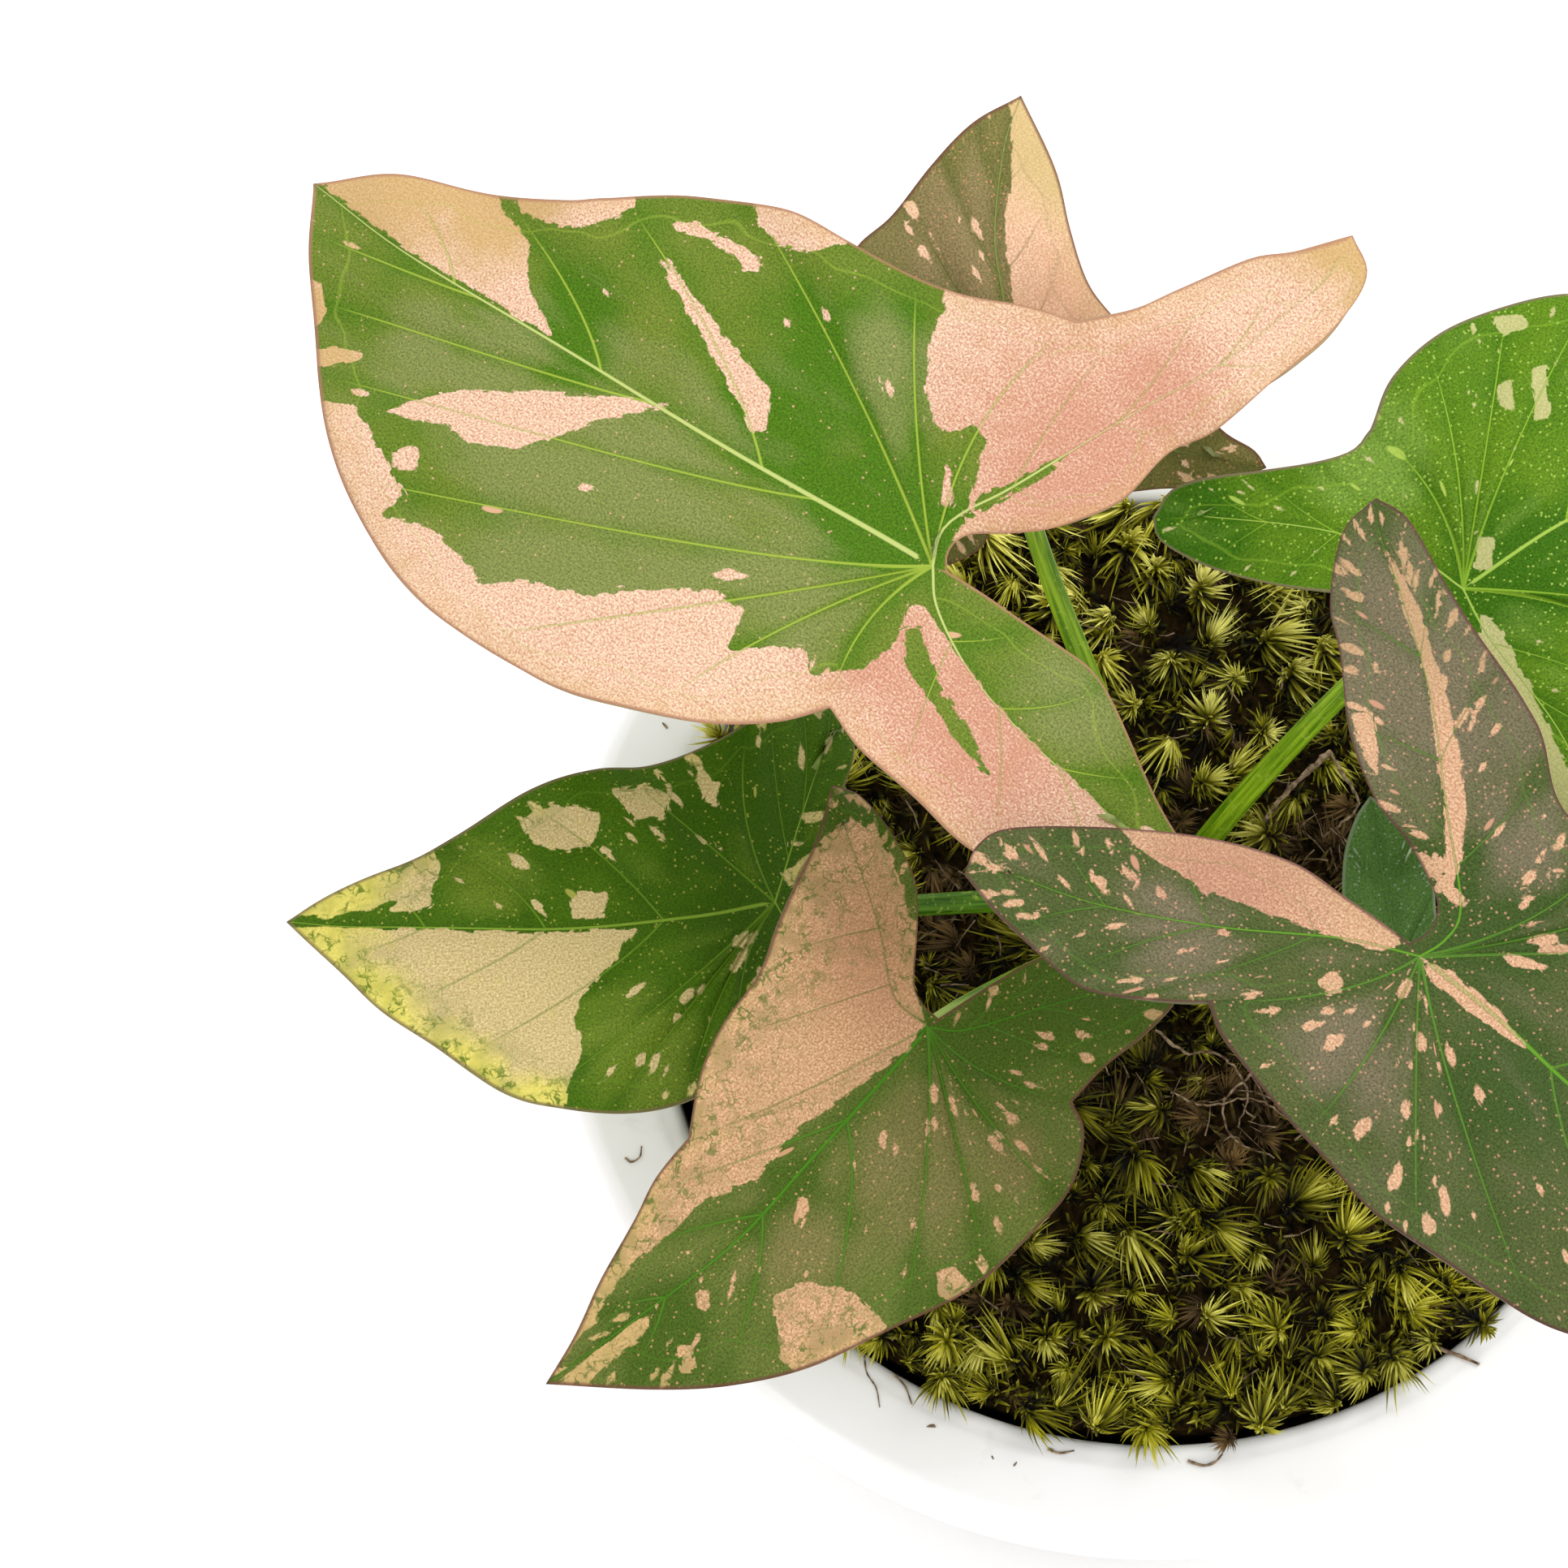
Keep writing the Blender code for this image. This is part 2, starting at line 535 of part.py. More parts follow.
def make_soil(collection, material, holes):
    """Fill the pot with soil, with a hole for every stalk."""
    side = 1.5 * GAP
    low = FLOOR + 2.0
    edge = inner_wall(SOIL_EDGE_Z) - side
    profile = [(0.0, FLOOR + GAP), (BASE_RADIUS - WALL - 2.0 - side, FLOOR + GAP),
               (BASE_RADIUS - WALL - side, low + GAP), (edge, SOIL_EDGE_Z)]
    profile += [(r * edge, soil_top(r * edge)) for r in (0.66, 0.33)]
    profile += [(0.0, soil_top(0.0))]
    obj = turned("soil", profile, collection, material)
    cut(obj, holes, "stalk_holes")
    return obj


def tuft_places(stalk_lines):
    """Seeded places for the moss tufts, an even step apart and off the stalks."""
    draw = random.Random(7)
    places = []
    for _ in range(6000):
        radius = (MOSS_RADIUS - 3.4) * math.sqrt(draw.random())
        angle = draw.uniform(0.0, 2 * math.pi)
        spot = (radius * math.cos(angle), radius * math.sin(angle))
        size = draw.uniform(0.85, 1.12)
        near = min((math.dist(spot, other) for other, _, _ in places), default=99.0)
        if near < TUFT_SPACING:
            continue
        if stalk_clearance(spot, stalk_lines) < TUFT_RADIUS + 2.6:
            continue
        places.append((spot, size, draw.uniform(0.0, 2 * math.pi)))
        if len(places) == TUFT_COUNT:
            break
    return places


def stalk_clearance(spot, stalk_lines):
    """Distance in plan from a spot to the low part of the nearest stalk."""
    reach = 99.0
    for line in stalk_lines:
        for point in line:
            reach = min(reach, math.dist(spot, point))
    return reach


def low_stalk_lines():
    """Plan points of each stalk while it is still among the moss tufts."""
    lines = []
    for key in LEAVES:
        _, rise, end, _ = stalk_points(key)
        way = end - rise
        line = []
        for k in range(21):
            point = rise + way * (k / 20)
            if point.z < MOSS_MIDDLE_Z + TUFT_HEIGHT + 3.0:
                line.append((point.x, point.y))
        lines.append(line)
    return lines


def make_tuft(name, spot, size, turn, collection):
    """Raise one ragged star of moss leaves, its root sunk in the cushion."""
    draw = random.Random(name)
    radius = math.hypot(*spot)
    base = moss_top(radius)
    bm = bmesh.new()
    corners = 2 * TUFT_POINTS
    low = []
    high = []
    for k in range(corners):
        angle = turn + math.pi * (k + draw.uniform(-0.2, 0.2)) / TUFT_POINTS
        reach = size * TUFT_RADIUS * (draw.uniform(0.78, 1.08) if k % 2 == 0 else 0.5)
        lift = size * TUFT_HEIGHT * (draw.uniform(0.3, 0.6) if k % 2 == 0 else 0.14)
        x = spot[0] + reach * math.cos(angle)
        y = spot[1] + reach * math.sin(angle)
        across = min(1.0, (MOSS_RADIUS - 0.4) / math.hypot(x, y))
        x *= across
        y *= across
        local = moss_top(math.hypot(x, y))
        high.append(bm.verts.new((x, y, local + lift)))
        low.append(bm.verts.new((spot[0] + (x - spot[0]) * 0.6, spot[1] + (y - spot[1]) * 0.6,
                                 base - TUFT_ROOT)))
    peak = bm.verts.new((*spot, base + size * TUFT_HEIGHT))
    root = bm.verts.new((*spot, base - TUFT_ROOT - 0.6))
    for k in range(corners):
        after = (k + 1) % corners
        bm.faces.new((high[k], high[after], peak))
        bm.faces.new((low[k], low[after], high[after], high[k]))
        bm.faces.new((low[after], low[k], root))
    bmesh.ops.triangulate(bm, faces=bm.faces)
    return link_mesh(name, mesh_from_bmesh(name, bm), collection)


def make_moss(collection, material, holes):
    """Lay the moss cushion on the soil and fuse its tufts to it."""
    under = [(0.0, soil_top(0.0) + GAP)]
    edge = inner_wall(SOIL_EDGE_Z) - 1.5 * GAP
    under += [(r * edge, soil_top(r * edge) + GAP) for r in (0.33, 0.66)]
    under += [(edge, SOIL_EDGE_Z + GAP), (MOSS_RADIUS - 0.4, MOSS_EDGE_Z - 4.0)]
    over = [(MOSS_RADIUS, MOSS_EDGE_Z - 1.0)]
    over += [(r * MOSS_RADIUS, moss_top(r * MOSS_RADIUS)) for r in (0.985, 0.85, 0.6, 0.3)]
    over += [(0.0, moss_top(0.0))]
    obj = turned("moss", under + over, collection, material)
    tufts = make_collection("moss_tufts", hidden=True)
    for k, (spot, size, turn) in enumerate(tuft_places(low_stalk_lines())):
        make_tuft(f"tuft_{k}", spot, size, turn, tufts)
    boolean = obj.modifiers.new("fuse_tufts", "BOOLEAN")
    boolean.operation = "UNION"
    boolean.operand_type = "COLLECTION"
    boolean.collection = tufts
    boolean.solver = "EXACT"
    apply_modifiers(obj)
    for tuft in list(tufts.objects):
        bpy.data.objects.remove(tuft, do_unlink=True)
    bpy.data.collections.remove(tufts)
    cut(obj, holes, "stalk_holes")
    return obj


def make_holes():
    """Tools for the holes that the stalks stand in."""
    holes = make_collection("hole_tools", hidden=True)
    for key in LEAVES:
        cylinder(f"hole_{key}", stalk_foot(key), STALK_FOOT_RADIUS + 1.5 * GAP,
                 SOIL_MIDDLE_Z - HOLE_DEPTH, MOSS_MIDDLE_Z + TUFT_HEIGHT + 2.0, 12, holes)
    return holes


def main():
    """Build every piece of the plant."""
    clear_scene()
    plant = make_collection("arrowhead_plant")
    glaze = make_material("white_glaze", (0.86, 0.85, 0.83), 0.12)
    earth = make_material("potting_soil", (0.05, 0.03, 0.018), 0.95)
    green_moss = make_material("moss_green", (0.16, 0.17, 0.03), 0.9)
    stalk_green = make_material("stalk_green", (0.20, 0.38, 0.03), 0.4)
    leaf_colours = {
        "a": (0.55, 0.42, 0.24), "b": (0.35, 0.22, 0.12), "c": (0.10, 0.20, 0.03),
        "d": (0.42, 0.26, 0.12), "e": (0.14, 0.15, 0.07), "f": (0.12, 0.25, 0.03),
        "g": (0.05, 0.10, 0.03),
    }
    holes = make_holes()
    turned("pot", pot_profile(), plant, glaze)
    make_soil(plant, earth, holes)
    make_moss(plant, green_moss, holes)
    for key, leaf in LEAVES.items():
        material = make_material(f"leaf_{key}_green", leaf_colours[key], 0.45)
        make_leaf(f"leaf_{key}", leaf, plant, material)
        make_stalk(f"petiole_{key}", key, plant, stalk_green)


main()
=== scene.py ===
import math
import random

import bmesh
import bpy
import numpy as np
from mathutils import Matrix, Vector
from mathutils.geometry import interpolate_bezier


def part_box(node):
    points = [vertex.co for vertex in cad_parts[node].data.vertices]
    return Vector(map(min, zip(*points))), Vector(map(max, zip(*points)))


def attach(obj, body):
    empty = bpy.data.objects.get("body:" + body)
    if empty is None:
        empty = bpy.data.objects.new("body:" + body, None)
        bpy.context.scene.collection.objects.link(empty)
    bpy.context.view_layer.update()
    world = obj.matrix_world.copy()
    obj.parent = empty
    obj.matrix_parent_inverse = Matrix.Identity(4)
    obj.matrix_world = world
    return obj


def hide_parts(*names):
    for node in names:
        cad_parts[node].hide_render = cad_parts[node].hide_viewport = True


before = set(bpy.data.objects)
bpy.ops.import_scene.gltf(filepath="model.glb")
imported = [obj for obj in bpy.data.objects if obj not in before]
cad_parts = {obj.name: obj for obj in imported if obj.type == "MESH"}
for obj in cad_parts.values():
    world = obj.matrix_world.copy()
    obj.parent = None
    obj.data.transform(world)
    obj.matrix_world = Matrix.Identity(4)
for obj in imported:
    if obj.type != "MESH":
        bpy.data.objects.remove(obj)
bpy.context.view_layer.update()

MM = 0.001
BODY = "root"

pot_low, pot_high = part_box("pot")
moss_low, moss_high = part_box("moss")

# Pot and moss, from the frame's boxes and the part's own wall sizes.
POT_HEIGHT = pot_high.z / MM
RIM_RADIUS = pot_high.x / MM
MOUTH_RADIUS = RIM_RADIUS - 12.5
RIM_DEPTH = 10.0
BASE_RADIUS = 48.0
WALL = 4.0
FLOOR = 5.0
POT_STEPS = 288
SOIL_MIDDLE_Z = 103.0
HOLE_DEPTH = 16.0
GAP = 0.3
MOSS_RADIUS = moss_high.x / MM
MOSS_EDGE_Z = 114.3
MOSS_MIDDLE_Z = 116.0
CROWN = (1.5, 8.0)
CROWN_RING = 6.4
STALK_FOOT_RADIUS = 1.5
STALK_TOP_RADIUS = 1.05
NECK_WAY = Vector((0.8, 0.0, 0.6))
NECK_SHARE = 0.13

# Blades: thickness at the ribs and at the margin, the quilted swells between veins, the
# fineness of the grid, and the length over which waves and swells grow at its ends.
BLADE_THICKNESS = 0.75
MARGIN_THICKNESS = 0.35
PUFF = 0.55
LOBE_PUFF = 0.25
LOBE_VEINS = 4
WAVE_LENGTH = 27.0
COLUMN_STEP = 0.75
LOBE_VEIN_BOLDNESS = 0.55
CALM_LENGTH = 12.0
FOLD_SOFTNESS = 3.0
LARGEST_LEAF = 87.0
WELD_STEP = 0.02
FAR = 99.0
OUTSIDE = -9.0
TINY = 1e-9
LEAST_SLANT = 0.15

# How much the columns of a blade's grid bow towards the lobe, at places along each of
# a side's three runs. Near the joint they bow towards the tip, clear of the lobe's spine.
COLUMN_BOWS = (((0.0, 0.4, 1.0), (0.10, 0.10, -0.10)),
               ((0.0, 0.5, 1.0), (-0.10, 0.05, 0.05)),
               ((0.0, 1.0), (0.10, 0.10)))

# Camera: it looks down at the photograph's angle on the point at the image's centre.
CAMERA_TARGET = (-42.9, 21.8, 115.0)
CAMERA_ELEVATION = 72.0
CAMERA_DISTANCE = 750.0
CAMERA_LENS = 145.1
SENSOR_WIDTH = 36.0

# Places on the midrib that the side veins of most leaves leave.
EVEN_FEET = (0.28, 0.52, 0.76, 1.0)

# Each leaf lies in its own plane: u runs from the stalk joint to the tip and v
# to the left. A side's margin goes tip, notch, lobe tip, sinus. "feet" are the
# places on the midrib that side veins leave, "veins" the places on the margin
# that these reach and "fan" those reached by more veins from the joint, all as
# shares of the way from the tip.
LEAVES = {
    "a": dict(
        joint=(-26.9, 22.4, 189), yaw=143.6, pitch=-9.3, roll=-2, length=86.6,
        rise=7, lobe_drop=10, fold=0.10, curl=1.5, wave=1.3, sinus=(-1.5, -0.5),
        midrib=[(24.5, 2.5), (48.5, 3), (70, 2.5)], rows=60,
        left=dict(
            blade=[(77.5, 11), (67.5, 21), (56, 30), (40.5, 36), (27, 35.5),
                   (17.5, 33.5), (9.5, 30), (3.5, 24.5), (-0.5, 19.5)],
            outer=[(-6, 21.5), (-13.5, 22), (-20.5, 22.5), (-28.5, 20), (-35, 15),
                   (-39, 8.5)],
            inner=[(-32, 5.5), (-21.5, -0.5), (-15.5, -1.5), (-8.5, -1.2)],
            spine=[(-3, 3.5), (-9.5, 7), (-17.5, 9), (-31, 10.5)],
            veins=(0.07, 0.15, 0.25, 0.38), feet=(0.32, 0.60, 0.84, 1), fan=(0.62, 0.82)),
        right=dict(
            blade=[(75, -6), (59, -10.5), (53.5, -13.5), (46, -19.5), (36, -23),
                   (27, -24), (15, -26.5), (8, -29), (2.5, -31)],
            outer=[(-0.5, -36), (-3, -41.5), (-7.5, -48.5), (-11, -52.5), (-14, -58.5)],
            inner=[(-17.5, -56), (-18.5, -49), (-18, -42.5), (-15, -31.5),
                   (-12.5, -26), (-12, -18), (-8.5, -12), (-4.5, -8.4), (-0.9, -5.2),
                   (-0.4, -2.4)],
            spine=[(1.4, -3.5), (0.6, -7), (-2, -12.5), (-7.5, -27), (-11.5, -37),
                   (-14.5, -50)],
            veins=(0.12, 0.26, 0.42, 0.58), feet=(0.28, 0.52, 0.763, 1), fan=(0.80,))),
    "b": dict(
        joint=(-16.2, 40.7, 171), yaw=90.1, pitch=8.1, roll=4, length=42.7,
        rise=4, lobe_drop=8, fold=0.12, curl=2, wave=0.9, sinus=(-1.8, 0.2),
        midrib=[(17.5, 2.5), (25.5, 3.5), (36, 2.2)], rows=40,
        left=dict(
            blade=[(39, 5.5), (33.5, 10.5), (27.5, 15), (23.5, 19), (18.5, 21),
                   (12, 19.5)],
            outer=[(6, 20.5), (-1, 18.5), (-6.5, 13.5), (-10.5, 8)],
            inner=[(-8.5, 4.5), (-5, 2.8)],
            spine=[(-2, 4.5), (-4.5, 8.5), (-6.5, 10.5)],
            veins=(0.16, 0.31, 0.48, 0.78), feet=EVEN_FEET),
        right=dict(
            blade=[(33, -3.5), (26.5, -5), (20, -7), (15.5, -10)],
            outer=[(11, -16), (4.5, -21.5), (2, -25.5), (0, -27)],
            inner=[(-2, -21.5), (-2.5, -14.5), (-2.8, -7)],
            spine=[(1.5, -4.5), (2, -12.5), (1, -21.5)],
            veins=(0.20, 0.38, 0.60, 0.85), feet=EVEN_FEET)),
    "c": dict(
        joint=(-43.9, -3.2, 149), yaw=-176.3, pitch=4.2, roll=3, length=54.8,
        rise=5, lobe_drop=8, fold=0.12, curl=2, wave=1.1, sinus=(-2, -0.2),
        midrib=[(10, 2.5), (25.5, 4), (46, 2)], rows=48,
        left=dict(
            blade=[(50.5, 5.5), (45.5, 11.5), (39.5, 16.5), (32, 23.5), (25, 25.5),
                   (16, 25.5), (9.5, 23.5), (5, 19)],
            outer=[(1, 19), (-3.5, 18.5), (-7.5, 16.5), (-10, 13)],
            inner=[(-9, 9), (-6, 4.5)],
            spine=[(-2.5, 5), (-5, 9.5), (-7, 12.5)],
            veins=(0.12, 0.26, 0.42, 0.58), feet=EVEN_FEET, fan=(0.72, 0.86)),
        right=dict(
            blade=[(50.5, -2), (41.5, -5), (35.5, -8), (27.5, -12), (19.5, -14.5),
                   (13.5, -15.5), (6, -18.5), (1.5, -21)],
            outer=[(-1, -24.5), (-5, -27.5), (-9, -26.5), (-11, -23.5)],
            inner=[(-10.5, -18.5), (-9, -14.5), (-6, -8), (-3, -3.6)],
            spine=[(-2.5, -7), (-5.5, -15), (-8, -21)],
            veins=(0.17, 0.33, 0.50, 0.70), feet=EVEN_FEET)),
    "d": dict(
        joint=(-27.2, -22.3, 165), yaw=-137.6, pitch=-8.1, roll=-4, length=56.8,
        rise=6, lobe_drop=10, fold=0.12, curl=2, wave=1.1, sinus=(-1.5, 0),
        midrib=[(6, 1), (19.5, 2.5), (32, 3.5), (46, 1.8)], rows=48,
        left=dict(
            blade=[(49, 8.5), (42, 14.5), (34.5, 19), (25.5, 22), (16, 24.5),
                   (6.5, 24.5), (0.5, 23.5), (-4.5, 20), (-6, 16.5)],
            outer=[(-11, 16), (-17, 16.2), (-22.5, 15.5), (-26.5, 13)],
            inner=[(-26, 9.5), (-22.5, 6.5), (-15.5, 2.5), (-8.5, 0.9)],
            spine=[(-3, 3), (-12, 7), (-22.5, 12)],
            veins=(0.12, 0.26, 0.40, 0.54), feet=EVEN_FEET, fan=(0.68, 0.84)),
        right=dict(
            blade=[(50.5, -1.5), (44.5, -3.8), (37.5, -6), (33, -7.5), (27.5, -8)],
            outer=[(21.5, -12.5), (16, -15), (9.5, -16.5), (4.5, -19), (-1, -21.5),
                   (-5, -23.5), (-11, -27.5)],
            inner=[(-12.5, -24.5), (-12, -18.5), (-9.5, -12), (-2.6, -5), (-1.4, -2.4)],
            spine=[(0.4, -5), (-4, -12.5), (-9, -23.5)],
            veins=(0.25, 0.50, 0.75, 1), feet=EVEN_FEET)),
    "e": dict(
        joint=(23.1, -24.3, 199), yaw=-36, pitch=-18.4, roll=3, length=69.9,
        rise=8, lobe_drop=10, fold=0.10, curl=1.5, wave=1.2, sinus=(-1.6, 0.6),
        midrib=[(10, -0.8), (19, -2), (31.5, -2.5), (48.5, -1.5)], rows=56,
        left=dict(
            blade=[(63, 4.5), (53, 12), (42, 19.5), (30, 24.5), (18, 25),
                   (8.5, 20.5)],
            outer=[(2, 22), (-3.5, 26.5), (-7, 28.5), (-13.5, 32), (-19.5, 35.5),
                   (-26.5, 39), (-30.5, 39)],
            inner=[(-31, 34), (-27.5, 27), (-24, 23), (-19, 16),
                   (-13, 11.5), (-7, 9.5), (-2.4, 6.4), (-1.1, 4.4), (-0.9, 2.2)],
            spine=[(1, 3), (0.2, 6.8), (-6.5, 14.5), (-15, 24.5), (-26, 34.5)],
            veins=(0.14, 0.30, 0.48, 0.66), feet=EVEN_FEET, fan=(0.84,)),
        right=dict(
            blade=[(62, -5), (48, -14.5), (35, -22.5), (25, -24.5), (12, -25.5),
                   (4.5, -23.5), (-2, -22), (-10.5, -19.5), (-14, -16.8)],
            outer=[(-17, -19), (-23, -22.5), (-27.5, -22.8), (-35, -21.5),
                   (-40, -19.5)],
            inner=[(-40.5, -16), (-39, -12.5), (-32.5, -7.5), (-22.5, -1.5),
                   (-15, 1.2), (-9, 0.9)],
            spine=[(-7, -3), (-17.5, -9.5), (-28, -14.5), (-37, -17)],
            veins=(0.12, 0.24, 0.36, 0.50), feet=EVEN_FEET, fan=(0.66, 0.82))),
    "f": dict(
        joint=(31.2, 23.4, 179), yaw=25.2, pitch=-13, roll=2, length=53.5,
        rise=6, lobe_drop=8, fold=0.12, curl=2, wave=1.1, sinus=(-2.2, 0),
        midrib=[(13, 2), (24.5, 1.5), (40, 0.3)], rows=48,
        left=dict(
            blade=[(48, 4), (41, 12), (33, 20), (25, 25), (18, 27),
                   (10, 27), (2.5, 24.5), (-1.5, 20.5)],
            outer=[(-4.5, 19.5), (-12.5, 22), (-21, 24.5), (-24.5, 22.8)],
            inner=[(-24.5, 20), (-20.5, 14.5), (-14.5, 8), (-8, 3.2)],
            spine=[(-2.5, 5), (-7, 10), (-12, 14.5), (-20.5, 20.8)],
            veins=(0.12, 0.26, 0.40, 0.54), feet=EVEN_FEET, fan=(0.68, 0.84)),
        right=dict(
            blade=[(47, -4), (38, -10.5), (30, -15), (22, -16.8), (14.5, -15.5)],
            outer=[(12, -22.5), (8, -28.5), (3, -33), (0, -34.5)],
            inner=[(-1.8, -29.5), (-2.2, -17.5), (-2.4, -8)],
            spine=[(0, -6.5), (1.5, -19), (1, -29)],
            veins=(0.18, 0.35, 0.55, 0.80), feet=EVEN_FEET)),
    "g": dict(
        joint=(28.3, -4.2, 127), yaw=101.4, pitch=23.4, roll=0, length=20.1,
        rise=1.5, lobe_drop=2, fold=0.15, curl=3, wave=0.3, sinus=(-1, 0),
        midrib=[(7, 0.3), (14, 0.3)], rows=20,
        left=dict(
            blade=[(18, 2.2), (14.5, 4.2), (10, 5.4), (5.5, 5.2)],
            outer=[(2, 4.8), (-0.5, 4.2), (-2.2, 2.8)],
            inner=[(-2.2, 1.4)],
            spine=[(0, 1.2), (-0.4, 2.4)],
            veins=(0.40, 0.85), feet=(0.5, 1)),
        right=dict(
            blade=[(18, -2), (14.5, -4), (10, -5.2), (5.5, -5)],
            outer=[(2, -4.8), (-0.5, -4.2), (-2.2, -2.8)],
            inner=[(-2.2, -1.4)],
            spine=[(0, -1.2), (-0.4, -2.4)],
            veins=(0.40, 0.85), feet=(0.5, 1))),
}

# Turn of each stalk's foot about the crown in degrees, how far it stands straight
# above the moss before it leans, and how much it then bows upwards.
STALK_FEET = {
    "a": (150, 0.5, 0.12),
    "b": (100, 1, 0.12),
    "c": (196, 1.5, 0.12),
    "d": (243, 0.5, 0.12),
    "e": (302, 0.5, 0.30),
    "f": (46, 1, 0.12),
    "g": (350, 1.8, 0.12),
}

